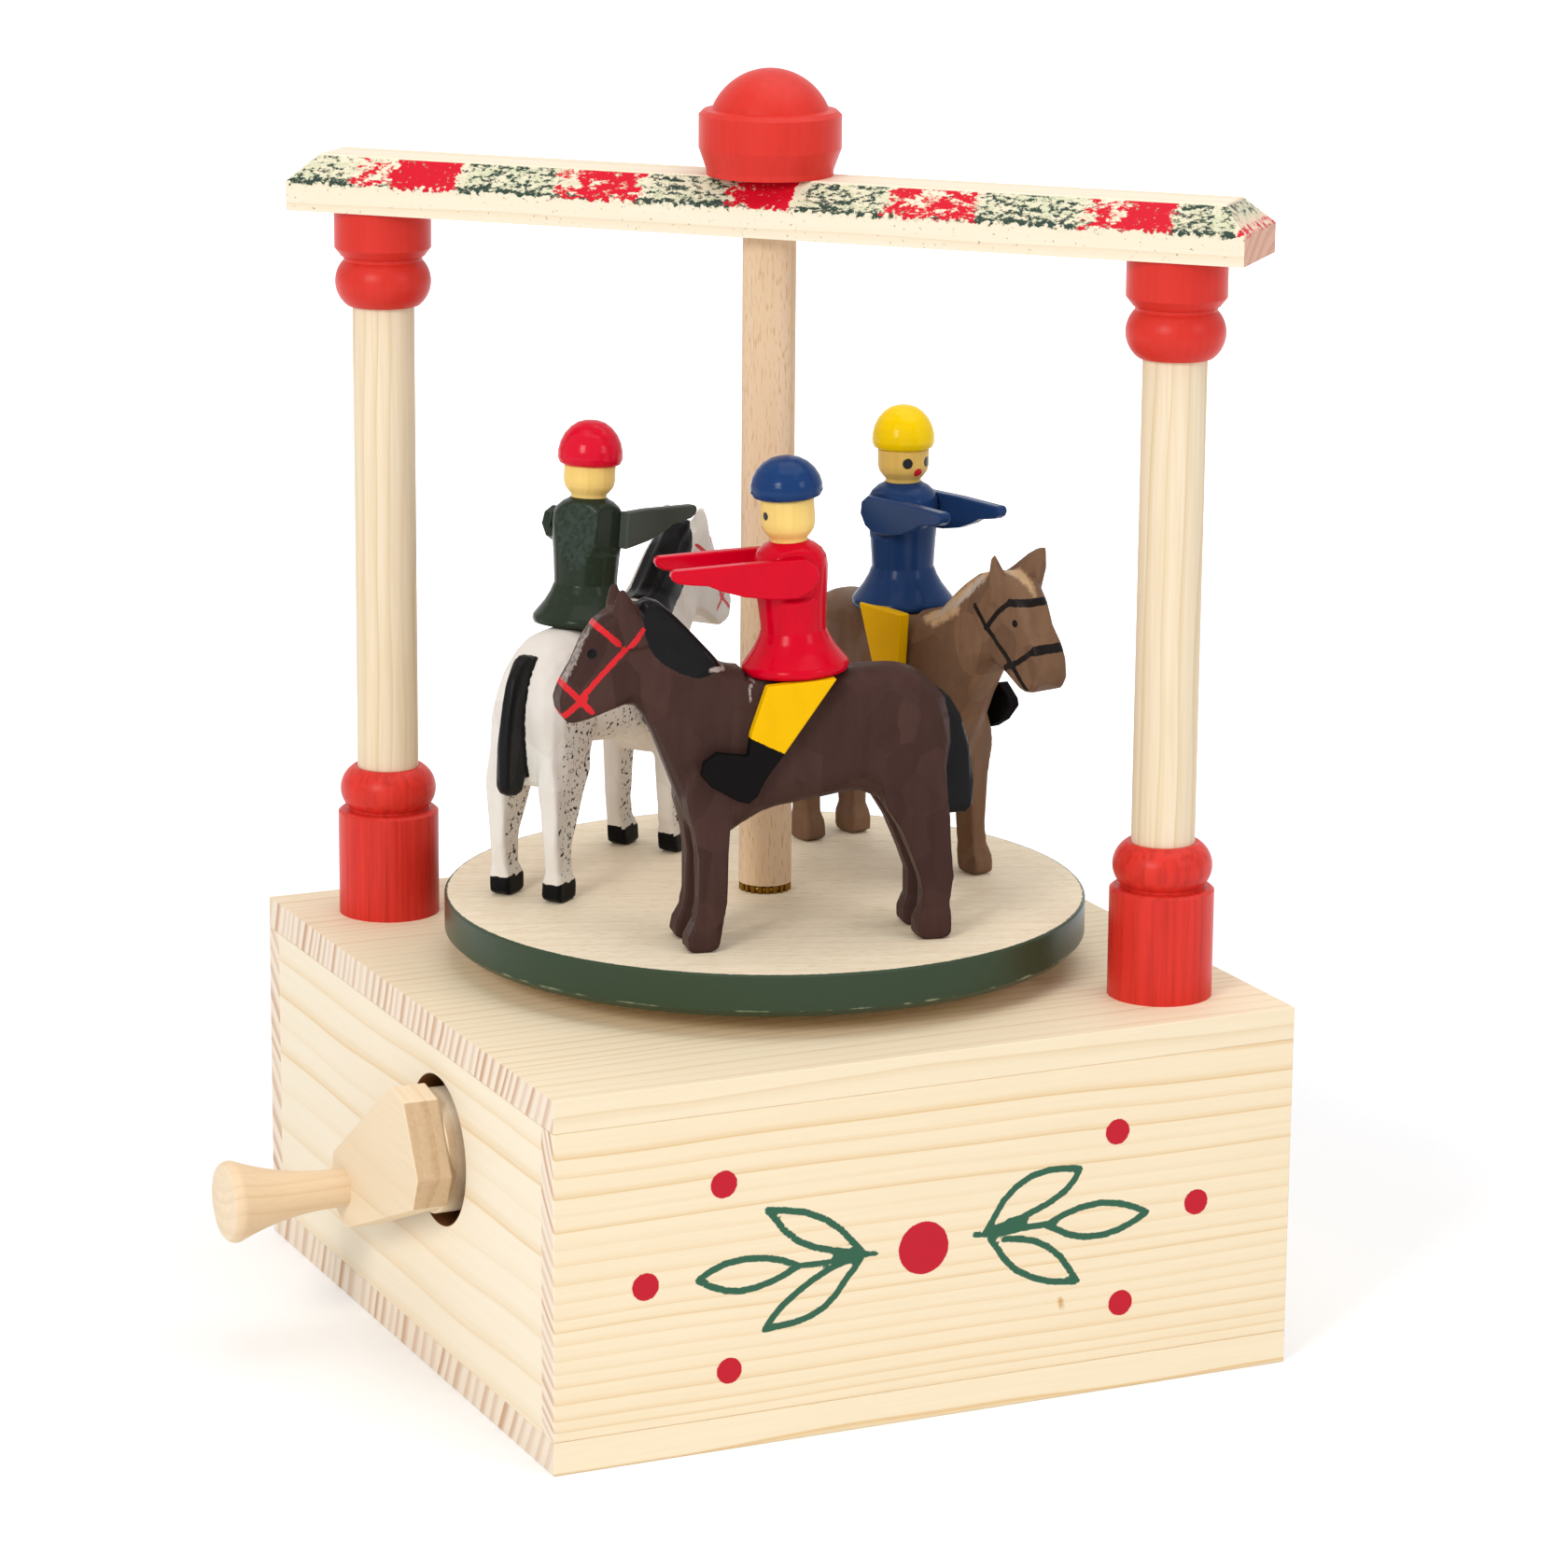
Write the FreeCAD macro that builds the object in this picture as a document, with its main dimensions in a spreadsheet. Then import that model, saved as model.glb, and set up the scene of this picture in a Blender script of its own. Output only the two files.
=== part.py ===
import FreeCAD, Part
import os
import re
import Sketcher

# A hand-cranked wooden roundabout: three carved horses with riders stand on a disc above a
# square pine case.  A crank in the left wall turns a worm, the worm turns a wheel on the
# upright spindle, and the spindle carries the disc.
# Frame: millimetres, origin on the floor under the middle of the case, +X to the right along
# the painted front, +Y to the back, +Z up.

SIZES = {
    # pine case
    "case_wide": 120.0, "case_deep": 120.0, "case_high": 56.2,
    "board": 5.0, "wall": 4.5, "crank_hole_r": 11.4,
    # turned columns, one at the back left and one at the front right
    "column_inset": 15.0, "shaft_r": 4.8, "dowel_in": 3.0,
    "base_r": 7.9, "base_drum": 16.8, "base_high": 23.7, "base_groove_r": 6.3, "base_bead_r": 7.5,
    "cap_r": 7.5, "cap_drum": 6.2, "cap_high": 15.0, "cap_groove_r": 6.1, "cap_bead_r": 7.4,
    # bar, knob and middle post
    "bar_low": 168.2, "bar_over": 12.36, "bar_wide": 17.0, "bar_high": 8.5, "bar_chamfer": 4.0,
    "knob_r": 10.75, "knob_foot_r": 9.5, "knob_dome_r": 8.7, "knob_collar_low": 4.1,
    "knob_collar_top": 9.7, "knob_high": 15.9, "tenon_r": 3.0, "tenon_long": 4.0,
    "post_r": 4.05, "post_in": 3.0, "post_bore": 11.0,
    # fits
    "glue_gap": 0.05, "run_gap": 0.05, "play": 0.1,
    # disc and spindle
    "disc_r": 49.45, "disc_top": 66.2, "disc_thick": 6.5, "disc_chamfer": 1.0, "disc_round": 0.3,
    "spindle_r": 2.0, "spindle_low": 3.1, "nut_r": 4.05, "nut_high": 1.15, "nut_teeth": 20,
    "nut_notch": 0.45, "bush_r": 3.5, "bush_flange_r": 6.0, "bush_flange": 1.0,
    "washer_r": 6.0, "washer_thick": 0.5, "carrier_r": 8.0,
    "cup_r": 4.0, "cup_low": 2.0, "cup_top": 7.0,
    # worm drive
    "crank_y": -14.6, "crank_z": 35.7, "axle_r": 2.0, "worm_pitch_r": 4.4, "worm_tooth": 1.0,
    "worm_clear": 0.4, "worm_long": 22.0, "worm_hub": 5.0, "worm_hub_r": 3.6, "wheel_teeth": 15,
    "wheel_thick": 3.0, "backlash": 0.6, "flank_angle": 20.0, "wheel_hub_r": 5.0,
    "wheel_hub": 5.0, "screw_r": 0.75, "thread_turns": 4.0,
    "block_thick": 8.0, "block_wide": 16.0, "block_over": 8.0, "inner_block_x": 20.0,
    "collar_r": 4.5, "collar_long": 5.0, "axle_end": 30.0,
    # crank
    "boss_r": 9.35, "boss_proud": 1.9, "boss_long": 9.9, "arm_thick": 5.6, "arm_reach": 22.9,
    "arm_hub_r": 9.4, "arm_hub_flat": 6.0, "arm_hub_slope": 4.3, "arm_tip_half": 6.0,
    "arm_tip_flat": 2.5, "arm_tip_slope": 3.0, "arm_past_pin": 2.6, "arm_turn": -28.5,
    "axle_in_arm": 3.5, "handle_long": 20.1, "handle_neck_r": 2.9, "handle_rim_r": 6.2,
    "handle_tenon_r": 2.0, "handle_tenon": 4.0,
    # horses: u runs from tail to nose, from the middle of the four hooves
    "dark_ring": 28.3, "dark_angle": 259.1, "dark_turn": 0.3, "dark_gap": 1.9,
    "dark_high": 1.0,
    "white_ring": 28.65, "white_angle": 136.15, "white_turn": -9.55,
    "white_gap": 3.0, "white_high": 0.978,
    "tan_ring": 28.4, "tan_angle": 20.1, "tan_turn": -8.5, "tan_gap": 2.75,
    "tan_high": 1.0,
    "horse_half": 6.3, "neck_half": 4.2,
    "fore_leg": 16.0, "hind_leg": -17.8, "leg_wide": 4.4, "hoof_wide": 4.9, "hoof_high": 3.0,
    "belly": 21.4, "back": 41.6, "withers_u": 14.4, "rump_u": -15.3, "tail_u": -24.9,
    "chest_u": 23.2, "poll_u": 26.8, "poll": 53.2, "ear": 54.2, "nose_u": 38.6, "nose": 39.8,
    # riders
    "dark_twist": 0.0, "white_twist": -12.0, "tan_twist": -3.0,
    "dark_seat": 2.5, "dark_lean": 3.3, "dark_face": 6.5, "dark_cap_r": 5.35, "dark_cap": 6.1,
    "white_seat": -2.4, "white_lean": 4.5, "white_face": 5.8, "white_cap_r": 5.05,
    "white_cap": 6.3, "tan_seat": 1.7, "tan_lean": -0.8, "tan_face": 5.2, "tan_cap_r": 4.9,
    "tan_cap": 6.8, "seat": 40.9, "seat_half": 8.2, "skirt_r": 8.0, "waist_r": 4.95,
    "waist": 5.0, "shoulder_r": 5.6, "jacket_high": 19.6, "neck_r": 3.2, "head_r": 3.95,
    "arm_seat": 4.3, "sleeve": 1.9, "sleeve_long": 18.9, "leg_thick": 2.0,
    # the small flat where a turned dome was parted off
    "dome_flat": 0.4,
}

doc = FreeCAD.newDocument("crank_roundabout")
sheet = doc.addObject("Spreadsheet::Sheet", "sizes")
for row, (alias, value) in enumerate(SIZES.items(), start=1):
    sheet.set(f"A{row}", alias)
    sheet.set(f"B{row}", str(value))
    sheet.setAlias(f"B{row}", alias)
doc.recompute()

pieces = []


def bound(formula):
    """The formula with each size's name turned into its cell of the sheet."""
    return re.sub(r"[a-z][a-z_]+", lambda m: f"sizes.{m[0]}" if m[0] in SIZES else m[0], formula)


def amount(formula):
    """What a formula comes to with the sheet's present sizes."""
    result = sheet.evalExpression(bound(formula))
    return float(getattr(result, "Value", result))


def new_body(name):
    """An empty body that is one piece of the toy."""
    body = doc.addObject("PartDesign::Body", name)
    body.Label = name
    pieces.append(body)
    return body


def place(piece, x="0", y="0", z="0", axis="0; 0; 1", turn="0", carrier=None):
    """Set a piece in the frame, or in the frame of the piece that carries it."""
    own = f"placement(vector({bound(x)}; {bound(y)}; {bound(z)}); " \
          f"rotation(vector({axis}); {bound(turn)}))"
    piece.setExpression("Placement", f"{carrier.Name}.Placement * {own}" if carrier else own)


def hold(sketch, geometry, end, x, y):
    """Hold one point of a sketch by its two bound distances from the sketch's origin."""
    for kind, formula in (("DistanceX", x), ("DistanceY", y)):
        rule = Sketcher.Constraint(kind, -1, 1, geometry, end, amount(formula))
        number = sketch.addConstraint(rule)
        sketch.setExpression(f"Constraints[{number}]", bound(formula))


def circle(sketch, x, y, radius):
    """Add a circle with a bound middle and radius."""
    middle = FreeCAD.Vector(amount(x), amount(y), 0)
    ring = sketch.addGeometry(Part.Circle(middle, FreeCAD.Vector(0, 0, 1), amount(radius)))
    hold(sketch, ring, 3, x, y)
    number = sketch.addConstraint(Sketcher.Constraint("Radius", ring, amount(radius)))
    sketch.setExpression(f"Constraints[{number}]", bound(radius))


def outline(sketch, points):
    """Add a closed outline.  A point with a third word is passed through by an arc."""
    vector = {p: FreeCAD.Vector(amount(p[0]), amount(p[1]), 0) for p in points}
    corners = [p for p in points if len(p) == 2]
    edges = []
    for corner in corners:
        number = points.index(corner)
        after = points[(number + 1) % len(points)]
        if len(after) == 2:
            edge = sketch.addGeometry(Part.LineSegment(vector[corner], vector[after]))
        else:
            end = points[(number + 2) % len(points)]
            edge = sketch.addGeometry(Part.Arc(vector[corner], vector[after], vector[end]))
            through = sketch.addGeometry(Part.Point(vector[after]), True)
            hold(sketch, through, 1, after[0], after[1])
            sketch.addConstraint(Sketcher.Constraint("PointOnObject", through, 1, edge))
        # an arc that runs clockwise has its two ends the other way round
        first = 1 if sketch.getPoint(edge, 1).distanceToPoint(vector[corner]) < 1e-6 else 2
        edges.append((edge, first))
        hold(sketch, edge, first, corner[0], corner[1])
    for (edge, first), (following, start) in zip(edges, edges[1:] + edges[:1]):
        rule = Sketcher.Constraint("Coincident", edge, 3 - first, following, start)
        sketch.addConstraint(rule)


def sketch_on(body, plane, name):
    """A sketch on one of the body's own three planes."""
    sketch = body.newObject("Sketcher::SketchObject", name)
    support = next(f for f in body.Origin.OriginFeatures if f.Role == plane)
    sketch.AttachmentSupport = [(support, "")]
    sketch.MapMode = "FlatFace"
    return sketch


def turned(name, points):
    """A piece turned about its own Z from a half section of radius and height."""
    body = new_body(name)
    sketch = sketch_on(body, "XZ_Plane", f"{name}_section")
    outline(sketch, points)
    spin = body.newObject("PartDesign::Revolution", f"{name}_turning")
    spin.Profile = sketch
    spin.ReferenceAxis = (sketch, ["V_Axis"])
    spin.Angle = 360
    return body


def padded(body, sketch, length, side="One side", backwards=False):
    """Pad a sketch by a bound length."""
    pad = body.newObject("PartDesign::Pad", f"{sketch.Name}_pad")
    pad.Profile = sketch
    pad.SideType = side
    pad.Reversed = backwards
    pad.setExpression("Length", bound(length))
    return pad


def cut(body, sketch, depth=None, side="One side", backwards=False):
    """Cut a sketch out of a body, to a bound depth or right through."""
    doc.recompute()
    before = body.Shape.Volume
    pocket = body.newObject("PartDesign::Pocket", f"{sketch.Name}_cut")
    pocket.Profile = sketch
    pocket.SideType = side
    pocket.Reversed = backwards
    if depth is None:
        pocket.Type = "ThroughAll"
    else:
        pocket.setExpression("Length", bound(depth))
    doc.recompute()
    assert body.Shape.Volume < before, f"{sketch.Name} cuts nothing"
    return pocket


def bored(body, plane, name, x, y, radius, depth=None, side="One side", backwards=False):
    """A round hole from one of the body's planes, blind or right through."""
    sketch = sketch_on(body, plane, f"{body.Name}_{name}")
    circle(sketch, x, y, radius)
    return cut(body, sketch, depth, side, backwards)


def rectangle(x, y, half_x, half_y):
    """The four corners of a rectangle about a middle."""
    return [(f"{x} - ({half_x})", f"{y} - ({half_y})"), (f"{x} + ({half_x})", f"{y} - ({half_y})"),
            (f"{x} + ({half_x})", f"{y} + ({half_y})"), (f"{x} - ({half_x})", f"{y} + ({half_y})")]


# ---------------------------------------------------------------------------- pine case
# The front and back walls run the full width, the side walls stand between them, and the
# base and top boards cover all four.

COLUMN_X = "(case_wide / 2 - column_inset)"
COLUMN_Y = "(case_deep / 2 - column_inset)"


def flat_board(name, top):
    """The base or the top: its own origin is in the middle of its upper face."""
    body = new_body(name)
    sketch = sketch_on(body, "XY_Plane", f"{name}_plan")
    outline(sketch, rectangle("0", "0", "case_wide / 2", "case_deep / 2"))
    padded(body, sketch, "board", backwards=True)
    place(body, z=top)
    return body


base_board = flat_board("base_board", "board")
bored(base_board, "XY_Plane", "cup_seat", "0", "0", "cup_r + glue_gap", "board - cup_low")
top_board = flat_board("top_board", "case_high")
bored(top_board, "XY_Plane", "bush_hole", "0", "0", "bush_r + glue_gap")
for side, sign in (("rear", "-"), ("front", "")):
    other_sign = "" if sign else "-"
    bored(top_board, "XY_Plane", f"{side}_socket", f"{sign}{COLUMN_X}", f"{other_sign}{COLUMN_Y}",
          "shaft_r + glue_gap", "dowel_in")

WALL_HIGH = "case_high - 2 * board"
for name, sign in (("front_board", "-"), ("back_board", "")):
    wall = new_body(name)
    face = sketch_on(wall, "XZ_Plane", f"{name}_face")
    outline(face, rectangle("0", f"({WALL_HIGH}) / 2", "case_wide / 2", f"({WALL_HIGH}) / 2"))
    padded(wall, face, "wall", "Symmetric")
    place(wall, y=f"{sign}(case_deep - wall) / 2", z="board")
for name, sign in (("left_board", "-"), ("right_board", "")):
    wall = new_body(name)
    face = sketch_on(wall, "YZ_Plane", f"{name}_face")
    half_run = "case_deep / 2 - wall"
    outline(face, rectangle("0", f"({WALL_HIGH}) / 2", half_run, f"({WALL_HIGH}) / 2"))
    padded(wall, face, "wall", "Symmetric")
    place(wall, x=f"{sign}(case_wide - wall) / 2", z="board")
    if name == "left_board":
        bored(wall, "YZ_Plane", "crank_hole", "crank_y", "crank_z - board", "crank_hole_r",
              side="Symmetric")

# --------------------------------------------------------------------- columns and top bar
# Each column is a plain dowel through a turned base and a turned capital.  The dowel's ends
# are glued into the top board and into the bar, which lies across the case corner to corner.

DOWEL_HOLE = "shaft_r + glue_gap"
for side, x, y in (("rear", f"-{COLUMN_X}", COLUMN_Y), ("front", COLUMN_X, f"-{COLUMN_Y}")):
    base = turned(f"column_base_{side}", [
        (DOWEL_HOLE, "0"), ("base_r", "0"), ("base_r", "base_drum - 0.4"),
        ("base_r - 0.5", "base_drum"), ("base_groove_r", "base_drum + 0.1"),
        ("base_groove_r", "base_drum + 0.4"),
        ("base_bead_r", "base_drum + 2.9", "through"),
        ("shaft_r + 0.7", "base_high"), (DOWEL_HOLE, "base_high")])
    place(base, x, y, "case_high")
    capital = turned(f"column_capital_{side}", [
        (DOWEL_HOLE, "0"), ("cap_r", "0"), ("cap_r", "0.2 - cap_drum"),
        ("cap_r - 1", "-1.1 - cap_drum"), ("cap_groove_r", "-1.3 - cap_drum"),
        ("cap_groove_r", "-1.8 - cap_drum"),
        ("cap_bead_r", "-5.6 - cap_drum", "through"),
        ("shaft_r + 0.8", "-cap_high"), (DOWEL_HOLE, "-cap_high")])
    place(capital, x, y, "bar_low")
    dowel = new_body(f"column_shaft_{side}")
    section = sketch_on(dowel, "XY_Plane", f"column_shaft_{side}_section")
    circle(section, "0", "0", "shaft_r")
    padded(dowel, section, "bar_low - case_high + 2 * dowel_in - 2 * glue_gap")
    place(dowel, x, y, "case_high - dowel_in + glue_gap")

COLUMN_SPREAD = f"sqrt({COLUMN_X} * {COLUMN_X} + {COLUMN_Y} * {COLUMN_Y})"
crossbar = new_body("crossbar")
plan = sketch_on(crossbar, "XY_Plane", "crossbar_plan")
outline(plan, rectangle("0", "0", f"({COLUMN_SPREAD} + bar_over)", "bar_wide / 2"))
padded(crossbar, plan, "bar_high")
bored(crossbar, "XY_Plane", "rear_socket", f"-{COLUMN_SPREAD}", "0", DOWEL_HOLE, "dowel_in",
      backwards=True)
bored(crossbar, "XY_Plane", "front_socket", COLUMN_SPREAD, "0", DOWEL_HOLE, "dowel_in",
      backwards=True)
bored(crossbar, "XY_Plane", "post_socket", "0", "0", "post_r + glue_gap", "post_in",
      backwards=True)
upper = sketch_on(crossbar, "XY_Plane", "crossbar_knob_socket")
upper.setExpression("AttachmentOffset", bound("placement(vector(0; 0; bar_high); rotation(0; 0; 0))"))
circle(upper, "0", "0", "tenon_r + glue_gap")
last_cut = cut(crossbar, upper, "tenon_long + glue_gap")
rim = [f"Edge{number}" for number, edge in enumerate(last_cut.Shape.Edges, start=1)
       if edge.Curve.TypeId == "Part::GeomLine"
       and all(abs(v.Z - amount("bar_high")) < 1e-6 for v in edge.Vertexes)]
bevel = crossbar.newObject("PartDesign::Chamfer", "crossbar_bevel")
bevel.Base = (last_cut, rim)
bevel.setExpression("Size", bound("bar_chamfer"))
place(crossbar, z="bar_low", turn=f"-atan({COLUMN_Y} / {COLUMN_X})")

top_knob = turned("top_knob", [
    ("0", "-tenon_long"), ("tenon_r", "-tenon_long"), ("tenon_r", "0"), ("knob_foot_r", "0"),
    ("knob_foot_r + 0.1", "0.9"), ("knob_r", "knob_collar_low"),
    ("knob_r", "knob_collar_top - 0.7"), ("knob_r - 0.7", "knob_collar_top"),
    ("knob_dome_r + 0.1", "knob_collar_top + 0.2"),
    ("knob_dome_r * 0.76", "knob_collar_top + (knob_high - knob_collar_top) * 0.56", "through"),
    ("dome_flat", "knob_high"), ("0", "knob_high")])
place(top_knob, z="bar_low + bar_high")

# The middle post hangs from the bar and stops just above the nut; its foot is bored for the
# spindle's upper end.
POST_FOOT = "disc_top + nut_high + play"
centre_post = new_body("centre_post")
section = sketch_on(centre_post, "XY_Plane", "centre_post_section")
circle(section, "0", "0", "post_r")
padded(centre_post, section, f"bar_low + post_in - glue_gap - ({POST_FOOT})")
bored(centre_post, "XY_Plane", "bore", "0", "0", "spindle_r + run_gap", "post_bore",
      backwards=True)
place(centre_post, z=POST_FOOT)

# ----------------------------------------------------------------- spindle, disc and wheel
# A steel spindle stands in a brass cup in the base and runs in a flanged brass bush in the
# top board.  A brass carrier on it bears the disc, and a notched brass nut holds it down.

SPINDLE_HOLE = "spindle_r + run_gap"
SPINDLE_SEAT = "spindle_r + glue_gap"
DISC_LOW = "disc_top - disc_thick"
pivot_cup = turned("pivot_cup", [
    ("0", "cup_low"), ("cup_r", "cup_low"), ("cup_r", "cup_top"), (SPINDLE_HOLE, "cup_top"),
    (SPINDLE_HOLE, "spindle_low - play"), ("0", "spindle_low - play")])
spindle_bush = turned("spindle_bush", [
    (SPINDLE_HOLE, "case_high - board"), ("bush_r", "case_high - board"), ("bush_r", "case_high"),
    ("bush_flange_r", "case_high"), ("bush_flange_r", "case_high + bush_flange"),
    (SPINDLE_HOLE, "case_high + bush_flange")])
WASHER_LOW = "case_high + bush_flange + play"
thrust_washer = turned("thrust_washer", [
    (SPINDLE_SEAT, WASHER_LOW), ("washer_r", WASHER_LOW),
    ("washer_r", f"{WASHER_LOW} + washer_thick"), (SPINDLE_SEAT, f"{WASHER_LOW} + washer_thick")])
disc_carrier = turned("disc_carrier", [
    (SPINDLE_SEAT, f"{WASHER_LOW} + washer_thick"),
    ("washer_r", f"{WASHER_LOW} + washer_thick"),
    ("carrier_r", f"{DISC_LOW} - 0.9"), ("carrier_r", DISC_LOW), (SPINDLE_SEAT, DISC_LOW)])
turntable = turned("turntable", [
    (SPINDLE_SEAT, DISC_LOW), ("disc_r - disc_chamfer", DISC_LOW),
    ("disc_r", f"{DISC_LOW} + disc_chamfer"), ("disc_r", "disc_top - disc_round"),
    ("disc_r - disc_round", "disc_top"), (SPINDLE_SEAT, "disc_top")])

knurled_nut = new_body("knurled_nut")
section = sketch_on(knurled_nut, "XY_Plane", "knurled_nut_section")
circle(section, "0", "0", "nut_r")
circle(section, "0", "0", SPINDLE_SEAT)
padded(knurled_nut, section, "nut_high")
notch = sketch_on(knurled_nut, "XY_Plane", "knurled_nut_notch")
outline(notch, [("nut_r - nut_notch", "0"), ("nut_r + 0.2", "-nut_notch"),
                ("nut_r + 0.2", "nut_notch")])
notch_cut = cut(knurled_nut, notch, side="Symmetric")
knurl = knurled_nut.newObject("PartDesign::PolarPattern", "knurled_nut_knurl")
knurl.Originals = [notch_cut]
knurl.Axis = (notch, ["N_Axis"])
knurl.Angle = 360
knurl.setExpression("Occurrences", bound("nut_teeth"))
knurled_nut.Tip = knurl
place(knurled_nut, z="disc_top")

SPINDLE_TOP = f"{POST_FOOT} + post_bore - 1"
spindle = new_body("spindle")
section = sketch_on(spindle, "XY_Plane", "spindle_section")
circle(section, "0", "0", "spindle_r")
padded(spindle, section, f"{SPINDLE_TOP} - spindle_low")
place(spindle, z="spindle_low")

# The worm lies beside the spindle at right angles to it; its pitch is the wheel's tooth pitch.
WHEEL_R = "(-crank_y - worm_pitch_r)"
PITCH = f"(2 * pi * {WHEEL_R} / wheel_teeth)"
FLANK = "tan(flank_angle)"
TOOTH_HALF = f"({PITCH} / 4 - backlash / 4)"
ROOT = "(worm_tooth + worm_clear)"
LEAD_SLOPE = f"({PITCH} / (2 * pi * worm_pitch_r))"
TWIST = f"(wheel_thick * {LEAD_SLOPE} / {WHEEL_R} * 180 / pi)"

worm_wheel = turned("worm_wheel", [
    (SPINDLE_SEAT, "0"), (f"{WHEEL_R} - {ROOT}", "0"), (f"{WHEEL_R} - {ROOT}", "wheel_thick"),
    ("wheel_hub_r", "wheel_thick"), ("wheel_hub_r", "wheel_thick + wheel_hub"),
    (SPINDLE_SEAT, "wheel_thick + wheel_hub")])


def tooth_plan(name, height, turn):
    """One wheel tooth seen along the spindle, pointing to the worm."""
    sketch = sketch_on(worm_wheel, "XY_Plane", name)
    shift = f"placement(vector(0; 0; {height}); rotation(vector(0; 0; 1); {turn}))"
    sketch.setExpression("AttachmentOffset", bound(shift))
    root_half = f"({TOOTH_HALF} + {ROOT} * {FLANK})"
    tip_half = f"({TOOTH_HALF} - worm_tooth * {FLANK})"
    outline(sketch, [(f"-{root_half}", f"{ROOT} + 0.4 - {WHEEL_R}"),
                     (f"-{root_half}", f"{ROOT} - {WHEEL_R}"),
                     (f"-{tip_half}", f"-{WHEEL_R} - worm_tooth"),
                     (tip_half, f"-{WHEEL_R} - worm_tooth"),
                     (root_half, f"{ROOT} - {WHEEL_R}"),
                     (root_half, f"{ROOT} + 0.4 - {WHEEL_R}")])
    return sketch


tooth = worm_wheel.newObject("PartDesign::AdditiveLoft", "wheel_tooth")
tooth.Profile = tooth_plan("tooth_low", "0", f"-{TWIST} / 2")
tooth.Sections = [tooth_plan("tooth_top", "wheel_thick", f"{TWIST} / 2")]
tooth.Ruled = True
doc.recompute()
teeth = worm_wheel.newObject("PartDesign::PolarPattern", "wheel_teeth_ring")
teeth.Originals = [tooth]
teeth.Axis = (tooth.Profile[0], ["N_Axis"])
teeth.Angle = 360
teeth.setExpression("Occurrences", bound("wheel_teeth"))
worm_wheel.Tip = teeth
SCREW_HIGH = "wheel_thick + wheel_hub / 2"
bored(worm_wheel, "XZ_Plane", "screw_hole", "0", SCREW_HIGH, "screw_r + glue_gap")
place(worm_wheel, z="crank_z - wheel_thick / 2")


def screw(name, start, end):
    """A set screw along its own Z."""
    peg = doc.addObject("Part::Cylinder", name)
    peg.setExpression("Radius", bound("screw_r"))
    peg.setExpression("Height", bound(f"{end} - ({start})"))
    return peg


wheel_set_screw = screw("wheel_set_screw", "spindle_r", "wheel_hub_r")
wheel_set_screw.Label = "wheel_set_screw"
place(wheel_set_screw, y="spindle_r", z=f"crank_z - wheel_thick / 2 + {SCREW_HIGH}",
      axis="1; 0; 0", turn="-90")
pieces.append(wheel_set_screw)

# --------------------------------------------------------------------------------- crank
# A boss fills most of the hole in the left wall, the arm is glued to its outer end, and the
# axle runs from the arm through two beech blocks.  Pieces turned about their own Z are laid
# along +X, so their own Z is the distance from the left wall's outer face.

AXLE_HOLE = "axle_r + run_gap"
AXLE_SEAT = "axle_r + glue_gap"


def along_axle(piece, x):
    """Lay a piece's own Z along the crank axle, its own X down."""
    place(piece, x, "crank_y", "crank_z", axis="0; 1; 0", turn="90")


BOSS_END = "-case_wide / 2 - boss_proud"
crank_boss = turned("crank_boss", [
    (AXLE_SEAT, "0"), ("boss_r - 0.3", "0"), ("boss_r", "0.3"), ("boss_r", "boss_long"),
    (AXLE_SEAT, "boss_long")])
along_axle(crank_boss, BOSS_END)

crank_arm = new_body("crank_arm")
section = sketch_on(crank_arm, "YZ_Plane", "crank_arm_outline")
ARM_END = "(arm_reach + arm_past_pin + arm_tip_slope)"
outline(section, [
    ("-arm_hub_r", "-arm_hub_flat"), ("arm_hub_slope - arm_hub_r", "-arm_hub_r"),
    (f"{ARM_END} - arm_tip_slope", "-arm_tip_half"), (ARM_END, "-arm_tip_flat"),
    (ARM_END, "arm_tip_flat"), (f"{ARM_END} - arm_tip_slope", "arm_tip_half"),
    ("arm_hub_slope - arm_hub_r", "arm_hub_r"), ("-arm_hub_r", "arm_hub_flat")])
padded(crank_arm, section, "arm_thick", backwards=True)
bored(crank_arm, "YZ_Plane", "axle_hole", "0", "0", AXLE_SEAT, "axle_in_arm")
pin_face = sketch_on(crank_arm, "YZ_Plane", "crank_arm_pin_hole")
pin_face.setExpression("AttachmentOffset", bound("placement(vector(0; 0; -arm_thick); rotation(0; 0; 0))"))
circle(pin_face, "arm_reach", "0", "handle_tenon_r + glue_gap")
cut(crank_arm, pin_face, "handle_tenon + glue_gap", backwards=True)
place(crank_arm, BOSS_END, "crank_y", "crank_z", axis="1; 0; 0", turn="arm_turn")

crank_handle = turned("crank_handle", [
    ("0", "-handle_tenon"), ("handle_tenon_r", "-handle_tenon"), ("handle_tenon_r", "0"),
    ("handle_neck_r", "0"), ("handle_neck_r + 0.15", "handle_long * 0.22"),
    ("handle_neck_r + 1.15", "handle_long * 0.55", "through"),
    ("handle_rim_r - 0.15", "handle_long * 0.86"),
    ("handle_rim_r", "handle_long * 0.91", "through"),
    ("handle_rim_r - 0.6", "handle_long * 0.96"), ("0", "handle_long")])
place(crank_handle, x="-arm_thick", y="arm_reach", axis="0; 1; 0", turn="-90",
      carrier=crank_arm)

crank_axle = new_body("crank_axle")
section = sketch_on(crank_axle, "XY_Plane", "crank_axle_section")
circle(section, "0", "0", "axle_r")
AXLE_START = f"({BOSS_END} - axle_in_arm + glue_gap)"
padded(crank_axle, section, f"axle_end - {AXLE_START}")
along_axle(crank_axle, AXLE_START)

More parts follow.
